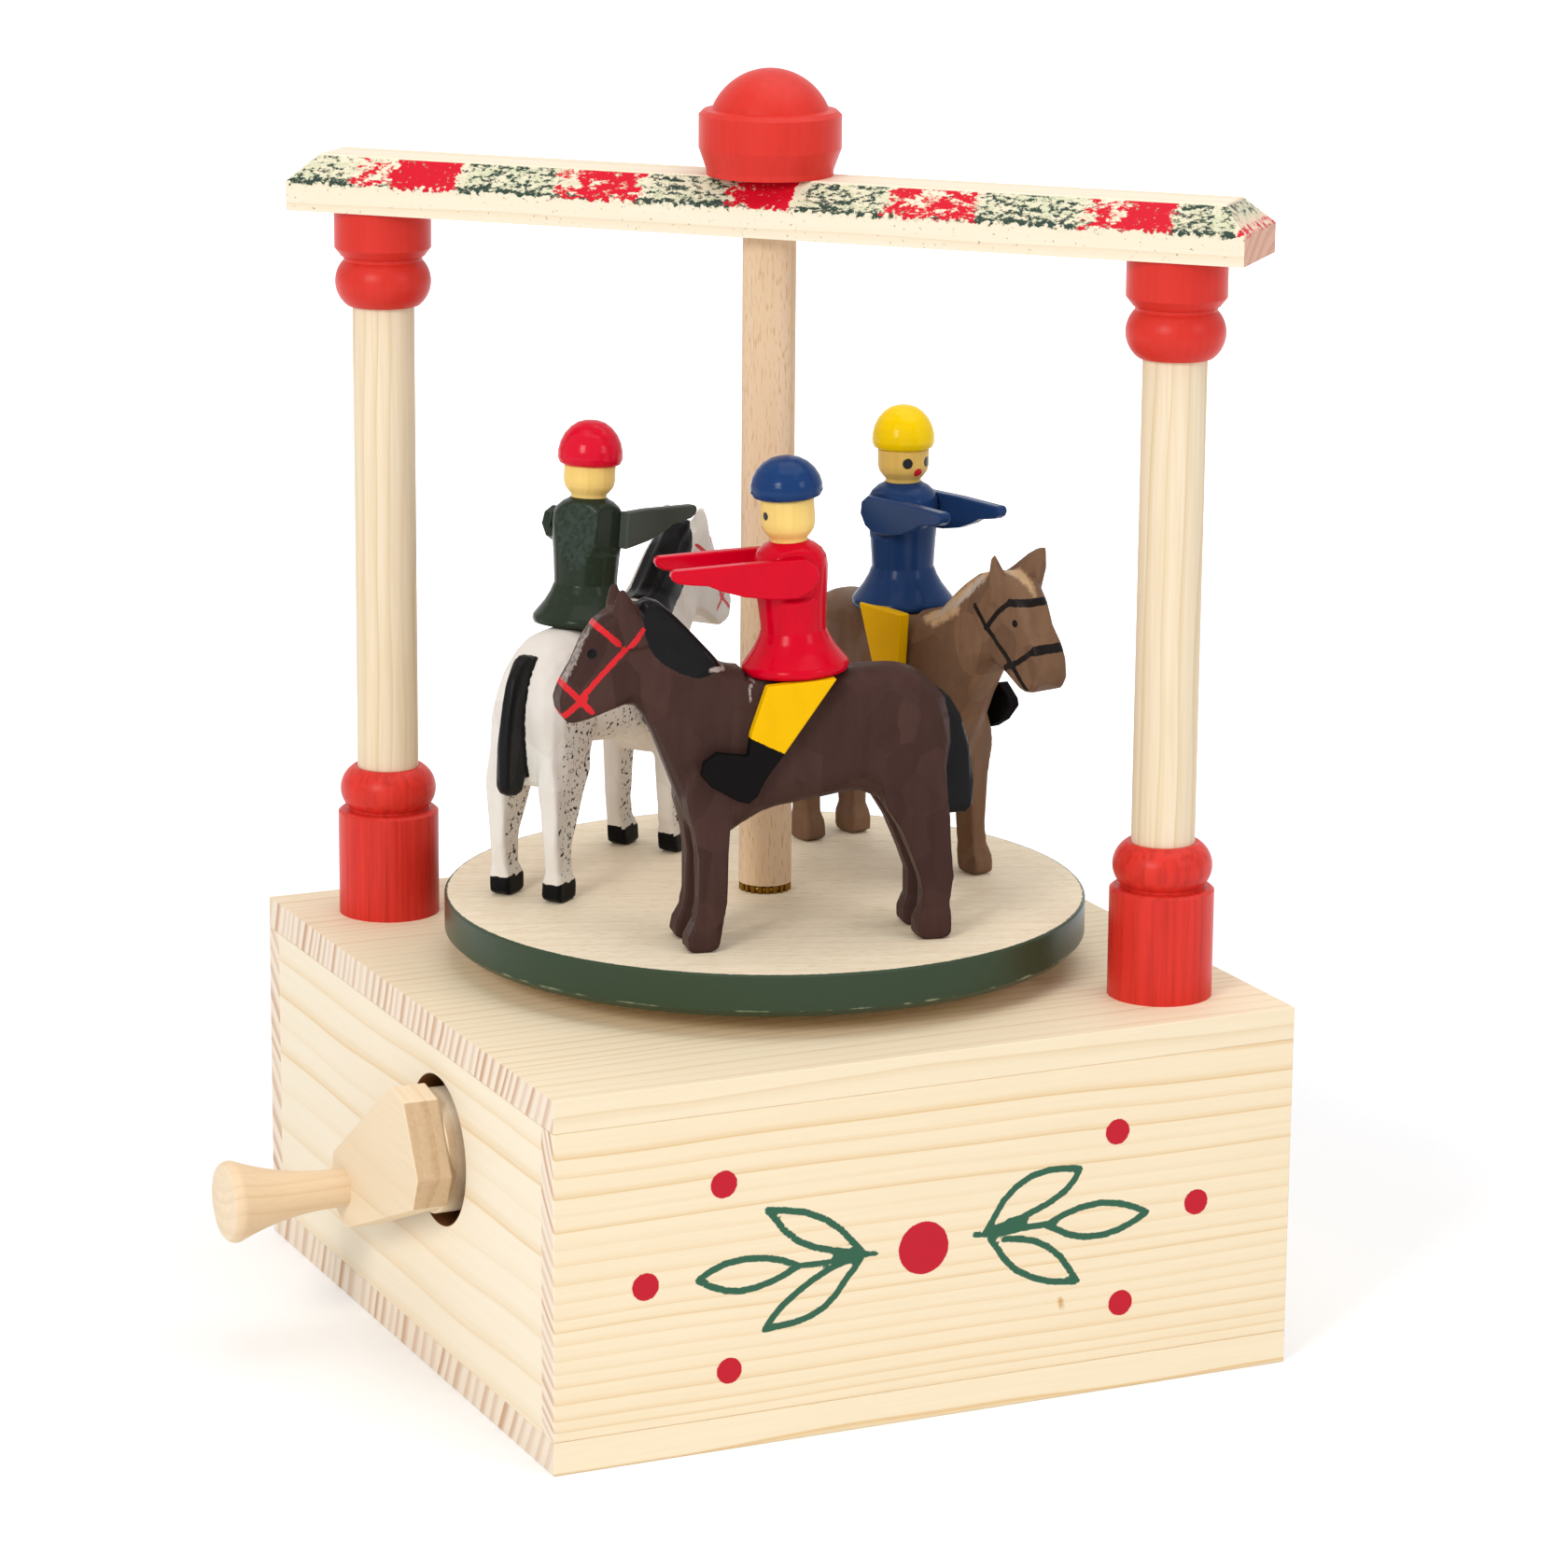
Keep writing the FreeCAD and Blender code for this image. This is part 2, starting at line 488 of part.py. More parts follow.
worm = turned("worm", [
    (AXLE_SEAT, "0"), (f"worm_pitch_r - {ROOT}", "0"), (f"worm_pitch_r - {ROOT}", "worm_long"),
    ("worm_hub_r", "worm_long"), ("worm_hub_r", "worm_long + worm_hub"),
    (AXLE_SEAT, "worm_long + worm_hub")])
# The thread starts and ends inside the core's length; a tooth gap faces the spindle.
thread = sketch_on(worm, "XZ_Plane", "worm_thread_section")
THREAD_LOW = f"(worm_long / 2 - thread_turns * {PITCH} / 2 + {PITCH} / 4)"
thread_root = f"({TOOTH_HALF} + {ROOT} * {FLANK})"
thread_tip = f"({TOOTH_HALF} - worm_tooth * {FLANK})"
outline(thread, [
    (f"worm_pitch_r - {ROOT} - 0.3", f"{THREAD_LOW} - {thread_root}"),
    (f"worm_pitch_r - {ROOT}", f"{THREAD_LOW} - {thread_root}"),
    ("worm_pitch_r + worm_tooth", f"{THREAD_LOW} - {thread_tip}"),
    ("worm_pitch_r + worm_tooth", f"{THREAD_LOW} + {thread_tip}"),
    (f"worm_pitch_r - {ROOT}", f"{THREAD_LOW} + {thread_root}"),
    (f"worm_pitch_r - {ROOT} - 0.3", f"{THREAD_LOW} + {thread_root}")])
helix = worm.newObject("PartDesign::AdditiveHelix", "worm_thread")
helix.Profile = thread
helix.ReferenceAxis = (thread, ["V_Axis"])
helix.Mode = "pitch-turns-angle"
helix.setExpression("Pitch", bound(PITCH))
helix.setExpression("Turns", bound("thread_turns"))
along_axle(worm, "-worm_long / 2")

BLOCK_HIGH = "crank_z + block_over - board"
OUTER_BLOCK = f"({BOSS_END} + boss_long + play)"
for name, x in (("outer_block", OUTER_BLOCK), ("inner_block", "inner_block_x")):
    block = new_body(name)
    face = sketch_on(block, "YZ_Plane", f"{name}_face")
    outline(face, rectangle("0", f"({BLOCK_HIGH}) / 2", "block_wide / 2", f"({BLOCK_HIGH}) / 2"))
    padded(block, face, "block_thick")
    bored(block, "YZ_Plane", "bore", "0", "crank_z - board", AXLE_HOLE, backwards=True)
    place(block, x, "crank_y", "board")

axle_collar = turned("axle_collar", [
    (AXLE_SEAT, "0"), ("collar_r", "0"), ("collar_r", "collar_long"), (AXLE_SEAT, "collar_long")])
COLLAR_X = f"({OUTER_BLOCK} + block_thick + play)"
along_axle(axle_collar, COLLAR_X)
bored(axle_collar, "XZ_Plane", "screw_hole", "0", "collar_long / 2", "screw_r + glue_gap")
bored(worm, "XZ_Plane", "screw_hole", "0", "worm_long + worm_hub / 2", "screw_r + glue_gap")
collar_screw = screw("collar_screw", "axle_r", "collar_r")
place(collar_screw, f"{COLLAR_X} + collar_long / 2", "crank_y + axle_r", "crank_z",
      axis="1; 0; 0", turn="-90")
worm_screw = screw("worm_screw", "axle_r", "worm_hub_r")
place(worm_screw, "worm_long / 2 + worm_hub / 2", "crank_y + axle_r", "crank_z",
      axis="1; 0; 0", turn="-90")
crank_set_screws = doc.addObject("Part::Compound", "crank_set_screws")
crank_set_screws.Label = "crank_set_screws"
crank_set_screws.Links = [collar_screw, worm_screw]
pieces.append(crank_set_screws)

# --------------------------------------------------------------------------------- horses
# Each horse is sawn to its side outline, then cut away seen from above and from the front.
# The saddle is filed flat at the angle at which its rider leans.

FORE_BACK = "fore_leg - leg_wide / 2"
FORE_FRONT = "fore_leg + leg_wide / 2"
HIND_BACK = "hind_leg - leg_wide / 2 - 0.6"
HIND_FRONT = "hind_leg + leg_wide / 2"


def side_outline(high, seat_u, lean):
    """The horse from the side, nose to the right, from the fore hoof anticlockwise."""
    drop = f"seat_half * tan({lean}) / {high}"
    return [
        (f"{FORE_BACK} + 1.4", "0"), (f"{FORE_BACK} + 1.4 + hoof_wide", "0"),
        (f"{FORE_BACK} + 1.4 + hoof_wide", "hoof_high"), (FORE_FRONT, "hoof_high + 3"),
        (FORE_FRONT, "belly - 4.9"), ("chest_u - 2.9", "belly + 1.1"), ("chest_u", "belly + 8.6"),
        ("chest_u + 2.3", "belly + 13.4"), ("nose_u - 10.8", "nose - 2.7"),
        ("nose_u - 7.1", "nose - 3.8"), ("nose_u - 3.3", "nose - 5.2"),
        ("nose_u - 1.2", "nose - 5.1"), ("nose_u + 0.1", "nose - 2.4"), ("nose_u", "nose"),
        ("nose_u - 1.1", "nose + 2.7"), ("nose_u - 6", "nose + 9.7"), ("poll_u + 4.1", "poll - 1.9"),
        ("poll_u + 3.2", "ear"), ("poll_u", "poll"), ("poll_u - 2", "poll - 1.6"),
        ("poll_u - 6.2", "poll - 4.3"), ("withers_u + 2.5", "back + 3"), ("withers_u", "back"),
        (f"{seat_u} + seat_half + 0.2", "back"), (f"{seat_u} + seat_half", f"seat - {drop}"),
        (f"{seat_u} - seat_half", f"seat + {drop}"), (f"{seat_u} - seat_half - 0.2", "back"),
        ("rump_u + 2.5", "back - 0.4"), ("rump_u", "back - 1.3"), ("rump_u - 4.3", "back - 3.6"),
        ("tail_u + 3.2", "back - 7.4"), ("tail_u + 1.3", "back - 10.6"), ("tail_u", "back - 16.4"),
        ("tail_u + 0.3", "belly - 1.2"), ("tail_u + 3", "belly - 2.4"),
        ("tail_u + 4.1", "belly - 7.4"), (HIND_BACK, "belly - 13"), (f"{HIND_BACK} + 0.3", "0"),
        (f"{HIND_FRONT} + 0.5", "0"), (f"{HIND_FRONT} + 0.5", "hoof_high"),
        (HIND_FRONT, "belly - 13"), (f"{HIND_FRONT} + 1.4", "belly - 8.6"),
        (f"{HIND_FRONT} + 2.7", "belly - 4.4"), (f"{HIND_FRONT} + 7.4", "belly + 1"),
        (f"{HIND_FRONT} + 9.8", "belly + 1.5"), (f"{FORE_BACK} - 12.9", "belly + 0.1"),
        (f"{FORE_BACK} - 6.5", "belly - 0.7"), (f"{FORE_BACK} - 2.8", "belly - 2.8"),
        (FORE_BACK, "belly - 5.9"), (FORE_BACK, "hoof_high + 6.5")]


PLAN_HALF = [
    ("tail_u - 1", "1.7"), ("tail_u + 1.5", "1.7"), ("tail_u + 3.4", "horse_half - 0.6"),
    ("rump_u", "horse_half"), ("0", "horse_half - 0.1"), (FORE_BACK, "horse_half - 0.9"),
    (FORE_FRONT, "horse_half - 1.5"), ("chest_u - 2.4", "horse_half - 2.6"),
    ("chest_u + 0.8", "neck_half - 0.9"), ("poll_u + 0.7", "neck_half"),
    ("nose_u - 6.1", "neck_half - 0.1"), ("nose_u - 3.6", "neck_half - 0.9"),
    ("nose_u + 1", "neck_half - 1.5")]


def end_half(gap):
    """Half of the horse from the front: a slot between the legs, a notch between the ears."""
    return [(gap, "0"), ("horse_half", "0"), ("horse_half", "back - 8.6"),
            ("horse_half - 0.9", "back - 4.1"), ("neck_half", "back + 0.4"),
            ("neck_half", "ear + 1"), ("1.7", "ear + 1"), ("1.5", "poll - 1.8")]


def horse(name, angle, ring, turn, gap, high, seat_u, lean):
    """One horse on the disc, standing on the ring of horses and heading clockwise."""
    body = new_body(name)
    side = sketch_on(body, "XZ_Plane", f"{name}_side")
    outline(side, [(u, f"({v}) * {high}") for u, v in side_outline(high, seat_u, lean)])
    padded(body, side, "2 * horse_half", "Symmetric")
    above = sketch_on(body, "XY_Plane", f"{name}_plan")
    outline(above, rectangle("(tail_u + nose_u) / 2", "0", "(nose_u - tail_u) / 2 + 3",
                             "horse_half + 2"))
    outline(above, PLAN_HALF + [(u, f"-({half})") for u, half in reversed(PLAN_HALF)])
    cut(body, above, side="Symmetric")
    front = sketch_on(body, "YZ_Plane", f"{name}_front")
    outline(front, rectangle("0", "ear / 2", "horse_half + 2", "ear / 2 + 4"))
    half = end_half(gap)
    outline(front, half + [(f"-({y})", z) for y, z in reversed(half)]
            + [(f"-{gap}", "belly - 6.4"), ("0", "belly - 3.4"), (gap, "belly - 6.4")])
    cut(body, front, side="Symmetric")
    place(body, f"{ring} * cos({angle})", f"{ring} * sin({angle})", "disc_top",
          turn=f"{angle} - 90 + {turn}")
    return body


# --------------------------------------------------------------------------------- riders
# A rider is a turned jacket, head and cap, glued up, with two flat arms on filed shoulders
# and two flat legs glued to the horse's flanks under the skirt.

def rider(name, mount, high, seat_u, lean, twist, face, cap_r, cap_high):
    """The seven pieces of one rider, carried by the horse's frame."""
    def seated(piece, z="0", y="0"):
        spot = f"placement(vector({seat_u}; 0; seat * {high}); rotation(vector(0; 1; 0); {lean}))"
        turn = f"placement(vector(0; 0; 0); rotation(vector(0; 0; 1); {twist}))"
        own = f"placement(vector(0; {y}; {z}); rotation(0; 0; 0))"
        piece.setExpression("Placement", bound(f"{mount.Name}.Placement * {spot} * {turn} * {own}"))

    jacket = turned(f"{name}_jacket", [
        ("0", "0"), ("skirt_r - 0.6", "0"), ("skirt_r", "0.8"), ("skirt_r - 0.15", "1.4"),
        ("waist_r + 1.2", "waist * 0.6", "through"), ("waist_r + 0.25", "waist - 0.1"),
        ("waist_r", "waist"), ("shoulder_r", "jacket_high - 4.5"),
        ("shoulder_r - 0.7", "jacket_high - 1.5", "through"), ("neck_r + 0.2", "jacket_high"),
        ("0", "jacket_high")])
    flats = sketch_on(jacket, "YZ_Plane", f"{name}_shoulder_flats")
    flat_low = "jacket_high - 8.2"
    for sign in ("", "-"):
        outline(flats, [(f"{sign}arm_seat", flat_low), (f"{sign}(skirt_r + 1)", flat_low),
                        (f"{sign}(skirt_r + 1)", "jacket_high + 1"),
                        (f"{sign}arm_seat", "jacket_high + 1")])
    cut(jacket, flats, side="Symmetric")
    seated(jacket)

    head = turned(f"{name}_head", [
        ("0", "0"), ("neck_r - 0.3", "0"), ("head_r - 0.45", "0.6"),
        ("head_r", "2"), ("head_r", face), ("0", face)])
    seated(head, "jacket_high")
    cap = turned(f"{name}_cap", [
        ("0", "0"), (f"{cap_r} - 0.9", "0"), (cap_r, "0.9"),
        (f"{cap_r} * 0.78", f"{cap_high} * 0.76", "through"), ("dome_flat", cap_high),
        ("0", cap_high)])
    seated(cap, f"jacket_high + {face}")

    for side, y in (("left", "arm_seat"), ("right", "-arm_seat - sleeve")):
        arm = new_body(f"{name}_{side}_arm")
        blade = sketch_on(arm, "XZ_Plane", f"{name}_{side}_arm_outline")
        outline(blade, [
            ("sleeve_long", "jacket_high - 1.9"), ("1.4", "jacket_high - 1.4"),
            ("-3", "jacket_high - 4.6", "through"), ("1.2", "jacket_high - 7.8"),
            ("5.2", "jacket_high - 7.4"), ("8.2", "jacket_high - 6.6"),
            ("sleeve_long - 0.5", "jacket_high - 3.3")])
        padded(arm, blade, "sleeve", backwards=True)
        seated(arm, y=y)

    under_skirt = f"seat * {high} - play - tan({lean})"
    for side, y in (("left", "horse_half"), ("right", "-horse_half - leg_thick")):
        leg = new_body(f"{name}_{side}_leg")
        shape = sketch_on(leg, "XZ_Plane", f"{name}_{side}_leg_outline")
        outline(shape, [
            (f"{seat_u} + 6", f"{under_skirt} * 6"), (f"{seat_u} - 4.2", f"{under_skirt} * -4.2"),
            (f"{seat_u} + 3.5", "seat - 10.6"), (f"{seat_u} + 7", "seat - 15.3"),
            (f"{seat_u} + 8.7", "seat - 17.9"), (f"{seat_u} + 15", "seat - 14.9"),
            (f"{seat_u} + 16", "seat - 12.5"), (f"{seat_u} + 14", "seat - 10.3"),
            (f"{seat_u} + 9.1", "seat - 11"), (f"{seat_u} + 8.6", "seat - 7.4")])
        padded(leg, shape, "leg_thick", backwards=True)
        place(leg, y=y, carrier=mount)


for name in ("dark", "white", "tan"):
    mount = horse(f"horse_{name}", f"{name}_angle", f"{name}_ring", f"{name}_turn",
                  f"{name}_gap", f"{name}_high", f"{name}_seat", f"{name}_lean")
    rider(f"{name}_rider", mount, f"{name}_high", f"{name}_seat", f"{name}_lean",
          f"{name}_twist", f"{name}_face", f"{name}_cap_r", f"{name}_cap")

# ---------------------------------------------------------------------- check and write out
doc.recompute()
for item in doc.Objects:
    assert not {"Invalid", "Error"} & set(item.State), f"{item.Label}: {item.State}"
for piece in pieces:
    assert not piece.Shape.isNull() and piece.Shape.isValid(), piece.Label
    assert piece.Shape.Solids, piece.Label
os.makedirs("parts", exist_ok=True)
for piece in pieces:
    piece.Shape.exportStep(f"parts/{piece.Label}.step")
print(len(pieces), "pieces written")
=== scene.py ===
import math

import bmesh
import bpy
import numpy as np
from mathutils import Euler, Matrix, Vector
from mathutils.bvhtree import BVHTree


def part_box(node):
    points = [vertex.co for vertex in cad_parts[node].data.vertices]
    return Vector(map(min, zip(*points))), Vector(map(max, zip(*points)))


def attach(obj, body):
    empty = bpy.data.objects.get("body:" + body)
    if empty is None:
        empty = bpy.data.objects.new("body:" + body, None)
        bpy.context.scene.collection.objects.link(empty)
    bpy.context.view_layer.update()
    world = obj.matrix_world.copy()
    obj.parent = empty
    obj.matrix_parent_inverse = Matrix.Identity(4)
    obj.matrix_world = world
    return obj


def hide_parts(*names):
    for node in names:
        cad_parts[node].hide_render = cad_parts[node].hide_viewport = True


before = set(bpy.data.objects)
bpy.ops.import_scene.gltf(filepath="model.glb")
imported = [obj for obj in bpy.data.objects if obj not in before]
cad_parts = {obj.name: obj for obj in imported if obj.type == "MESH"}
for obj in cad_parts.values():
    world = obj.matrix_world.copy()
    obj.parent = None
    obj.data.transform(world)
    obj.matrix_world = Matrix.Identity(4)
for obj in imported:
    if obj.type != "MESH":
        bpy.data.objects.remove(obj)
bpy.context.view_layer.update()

# ---------------------------------------------------------------------------- pine case
# The case is six planed pine boards, glued up with the front and back over the side walls and
# the base and top over all four.  Edges are eased with sandpaper, faces have a clear matt oil,
# and the front carries two brushed leaf sprigs and seven red dots.


def hue(code):
    """A colour code as linear light."""
    parts = [int(code[i:i + 2], 16) / 255 for i in (1, 3, 5)]
    return [c / 12.92 if c <= 0.04045 else ((c + 0.055) / 1.055) ** 2.4 for c in parts] + [1.0]


def add(tree, kind, links=None, **own):
    """Add a node with its own settings, and give its inputs a value or another node's output."""
    made = tree.nodes.new(kind)
    for name, value in own.items():
        setattr(made, name, value)
    for socket, value in (links or {}).items():
        if isinstance(value, bpy.types.NodeSocket):
            tree.links.new(value, made.inputs[socket])
        else:
            made.inputs[socket].default_value = value
    return made.outputs


def finish_of(name, roughness, **own):
    """A new material with its shader's plain numbers set; returns it, its tree and its shader."""
    material = bpy.data.materials.new(name)
    material.use_nodes = True
    shader = material.node_tree.nodes["Principled BSDF"]
    shader.inputs["Roughness"].default_value = roughness
    for socket, value in own.items():
        shader.inputs[socket.replace("_", " ")].default_value = value
    return material, material.node_tree, shader


def wood(name, pale, late, end, end_late, turn, centre, pith, spacing, wander=2.5, streak=0.12,
         fleck=None, roughness=0.55):
    """Sawn wood whose rings lie round a pith line; its grain runs along its own X, in mm.

    Colours: a ring's early and late wood on the faces, then on the end grain.  Turn and centre
    seat the grain on the piece, pith is the log's middle from there, and spacing is a year wide.
    """
    material, tree, shader = finish_of(name, roughness, Specular_IOR_Level=0.15)
    place = add(tree, "ShaderNodeTexCoord")
    local = add(tree, "ShaderNodeMapping",
                {"Vector": place["Object"], "Location": centre, "Rotation": turn,
                 "Scale": (0.001, 0.001, 0.001)}, vector_type="TEXTURE")[0]
    # the rings wander slowly along the board
    slow = add(tree, "ShaderNodeVectorMath", {0: local, 1: (0.010, 0.035, 0.035)},
               operation="MULTIPLY")[0]
    drift = add(tree, "ShaderNodeTexNoise", {"Vector": slow, "Scale": 1.0, "Detail": 2.0})["Color"]
    sway = add(tree, "ShaderNodeVectorMath", {0: drift, 1: (0.0, 2 * wander, 2 * wander)},
               operation="MULTIPLY")[0]
    bent = add(tree, "ShaderNodeVectorMath", {0: local, 1: sway}, operation="ADD")[0]
    flat = add(tree, "ShaderNodeVectorMath", {0: bent, 1: (0.0, 1.0, 1.0)},
               operation="MULTIPLY")[0]
    radius = add(tree, "ShaderNodeVectorMath", {0: flat, 1: (0.0, *pith)},
                 operation="DISTANCE")["Value"]
    count = add(tree, "ShaderNodeMath", {0: radius, 1: spacing}, operation="DIVIDE")[0]
    # some years grew wider than others
    uneven = add(tree, "ShaderNodeTexNoise", {"W": count, "Scale": 0.23, "Detail": 1.0},
                 noise_dimensions="1D")["Fac"]
    phase = add(tree, "ShaderNodeMath", {0: uneven, 1: 1.4, 2: count},
                operation="MULTIPLY_ADD")[0]
    part = add(tree, "ShaderNodeMath", {0: phase}, operation="FRACT")[0]
    number = add(tree, "ShaderNodeMath", {0: phase}, operation="FLOOR")[0]
    depth = add(tree, "ShaderNodeTexWhiteNoise", {"W": number}, noise_dimensions="1D")["Value"]
    # pale early wood darkens slowly into a line of late wood, which ends sharply
    ramp = tree.nodes.new("ShaderNodeValToRGB")
    ramp.color_ramp.interpolation = "EASE"
    ends = ramp.color_ramp.elements
    for spot, shade in ((0.0, 0.08), (0.08, 0.0), (0.58, 0.05), (0.85, 0.5), (0.94, 1.0),
                        (1.0, 0.1)):
        stop = ends.new(spot) if 0 < spot < 1 else ends[0 if spot == 0 else -1]
        stop.color = (shade, shade, shade, 1.0)
    tree.links.new(part, ramp.inputs[0])
    keep = add(tree, "ShaderNodeMapRange", {0: depth, 3: 0.25, 4: 1.0})[0]
    line = add(tree, "ShaderNodeMath", {0: ramp.outputs[0], 1: keep}, operation="MULTIPLY")[0]
    face = add(tree, "ShaderNodeMix", {0: line, 6: hue(pale), 7: hue(late)}, data_type="RGBA")[2]
    # where the surface looks along the grain, it is end grain with broader, browner lines
    broad = add(tree, "ShaderNodeMapRange", {0: part, 1: 0.4, 2: 0.75})[0]
    broad_line = add(tree, "ShaderNodeMath", {0: broad, 1: keep}, operation="MULTIPLY")[0]
    cut = add(tree, "ShaderNodeMix", {0: broad_line, 6: hue(end), 7: hue(end_late)},
              data_type="RGBA")[2]
    grain_way = Euler(turn).to_matrix() @ Vector((1, 0, 0))
    facing = add(tree, "ShaderNodeVectorMath", {0: place["Normal"], 1: grain_way},
                 operation="DOT_PRODUCT")["Value"]
    across = add(tree, "ShaderNodeMath", {0: facing}, operation="ABSOLUTE")[0]
    is_end = add(tree, "ShaderNodeMapRange", {0: across, 1: 0.6, 2: 0.85})[0]
    both = add(tree, "ShaderNodeMix", {0: is_end, 6: face, 7: cut}, data_type="RGBA")[2]
    # real fibres are hundredths of a millimetre, too fine to show, so they are drawn 0.6 mm apart
    fine = add(tree, "ShaderNodeVectorMath", {0: local, 1: (0.05, 1.6, 1.6)},
               operation="MULTIPLY")[0]
    fibre = add(tree, "ShaderNodeTexNoise",
                {"Vector": fine, "Scale": 1.0, "Detail": 3.0, "Roughness": 0.6})["Fac"]
    thick = add(tree, "ShaderNodeMapRange", {0: fibre, 1: 0.35, 2: 0.7, 3: 0.0, 4: streak})[0]
    colour = add(tree, "ShaderNodeMix", {0: thick, 6: both, 7: hue(late)}, data_type="RGBA")[2]
    if fleck:
        # beech and birch have short dark flecks, 2 mm long and 0.2 mm wide
        short = add(tree, "ShaderNodeVectorMath", {0: local, 1: (0.55, 4.5, 4.5)},
                    operation="MULTIPLY")[0]
        pore = add(tree, "ShaderNodeTexNoise", {"Vector": short, "Scale": 1.0, "Detail": 0.0})
        dark = add(tree, "ShaderNodeMapRange",
                   {0: pore["Fac"], 1: 0.62, 2: 0.72, 3: 0.0, 4: 0.75})[0]
        colour = add(tree, "ShaderNodeMix", {0: dark, 6: colour, 7: hue(fleck)},
                     data_type="RGBA")[2]
    bump = add(tree, "ShaderNodeBump",
               {"Strength": 0.25, "Distance": 0.00008, "Height": fibre})[0]
    tree.links.new(colour, shader.inputs["Base Color"])
    tree.links.new(bump, shader.inputs["Normal"])
    return material


def mark(material, distance, code, soft=0.05, ragged=0.0, rough=None, shine=None):
    """Lay a painted mark over a material where a distance in mm runs below nought.

    The distance comes from a node, or it is the name of an attribute that the piece keeps.
    """
    tree = material.node_tree
    shader = tree.nodes["Principled BSDF"]
    if isinstance(distance, str):
        distance = add(tree, "ShaderNodeAttribute", attribute_name=distance)["Fac"]
    if ragged:
        # a brushed edge wavers every 0.7 mm or so
        spot = add(tree, "ShaderNodeTexCoord")["Object"]
        noise = add(tree, "ShaderNodeTexNoise",
                    {"Vector": spot, "Scale": 1400.0, "Detail": 2.0})["Fac"]
        shift = add(tree, "ShaderNodeMapRange", {0: noise, 3: -ragged, 4: ragged})[0]
        distance = add(tree, "ShaderNodeMath", {0: distance, 1: shift}, operation="ADD")[0]
    cover = add(tree, "ShaderNodeMapRange", {0: distance, 1: soft, 2: -soft})[0]
    socket = shader.inputs["Base Color"]
    under = socket.links[0].from_socket if socket.links else tuple(socket.default_value)
    colour = add(tree, "ShaderNodeMix", {0: cover, 6: under, 7: hue(code)}, data_type="RGBA")[2]
    tree.links.new(colour, socket)
    for name, value in (("Roughness", rough), ("Specular IOR Level", shine)):
        if value is not None:
            socket = shader.inputs[name]
            under = socket.links[0].from_socket if socket.links else socket.default_value
            level = add(tree, "ShaderNodeMix", {0: cover, 2: under, 3: value})[0]
            tree.links.new(level, socket)


def plain(obj):
    """Turn an object with modifiers into a plain mesh."""
    bpy.context.view_layer.update()
    shape = obj.evaluated_get(bpy.context.evaluated_depsgraph_get())
    mesh = bpy.data.meshes.new_from_object(shape)
    obj.modifiers.clear()
    obj.data = mesh
    return obj


def placed(name, data):
    """A new object in the scene."""
    obj = bpy.data.objects.new(name, data)
    bpy.context.scene.collection.objects.link(obj)
    return obj


def sanded(obj, width, cuts, angle):
    """Round an object's sharp edges: a width in mm, and the least angle in degrees."""
    bevel = obj.modifiers.new("ease", "BEVEL")
    bevel.width = width * 0.001
    bevel.segments = cuts
    bevel.limit_method = "ANGLE"
    bevel.angle_limit = math.radians(angle)
    bevel.harden_normals = True
    return plain(obj)


def settle(obj, body, node):
    """Seat a finished piece on its body and the node that it stands for."""
    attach(obj, body)
    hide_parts(node)
    return obj


def eased(node, material, body, width=0.18):
    """A CAD node's shape with its sharp edges eased, which stands for the node."""
    mesh = bpy.data.meshes.new(f"{node}_shape")
    shape = bmesh.new()
    shape.from_mesh(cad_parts[node].data)
    bmesh.ops.remove_doubles(shape, verts=shape.verts, dist=2e-6)
    bmesh.ops.dissolve_degenerate(shape, edges=shape.edges, dist=1e-6)
    shape.to_mesh(mesh)
    shape.free()
    # the merged mesh is read afresh, and its loose triangles join into flat faces
    shape = bmesh.new()
    shape.from_mesh(mesh)
    bmesh.ops.dissolve_limit(shape, angle_limit=math.radians(0.5), verts=shape.verts,
                             edges=shape.edges)
    shape.to_mesh(mesh)
    shape.free()
    obj = sanded(placed(f"{node}_eased", mesh), width, cuts=2, angle=35)
    obj.data.materials.append(material)
    return settle(obj, body, node)


# Planed pine with matt oil: broad pale bands between thin amber lines on the faces, pinkish end
# grain with close brown lines, and a soft sheen without reflections.  Each board was cut from
# another place in the log, so its lines lie round a pith of its own.
PINE = dict(pale="#F2E3C6", late="#E0BF8C", end="#F1E2D0", end_late="#C79F7F")
ALONG_Y = (0.0, 0.0, math.pi / 2)
# the top board is coloured darker than the others: painted shade on its upward face
eased("top_board", wood("pine_top_shaded", **{**PINE, "pale": "#F0E0C2", "late": "#DDC195"},
                        turn=(0, 0, 0), centre=(0, 0, 0.0537), pith=(-190, -75),
                        spacing=2.3), "case")
eased("base_board", wood("pine_base", **PINE, turn=(0, 0, 0), centre=(0, 0, 0.0025),
                         pith=(-160, -60), spacing=3.2), "case")
# the left board is coloured paler than the others: painted light where it faces the window
lit_left_pine = wood("pine_left_lit", **{**PINE, "pale": "#F5E9D2", "late": "#E7CA9C"}, turn=ALONG_Y,
                 centre=(-0.0577, 0, 0.028), pith=(30, 110), spacing=5.6, wander=3.0)
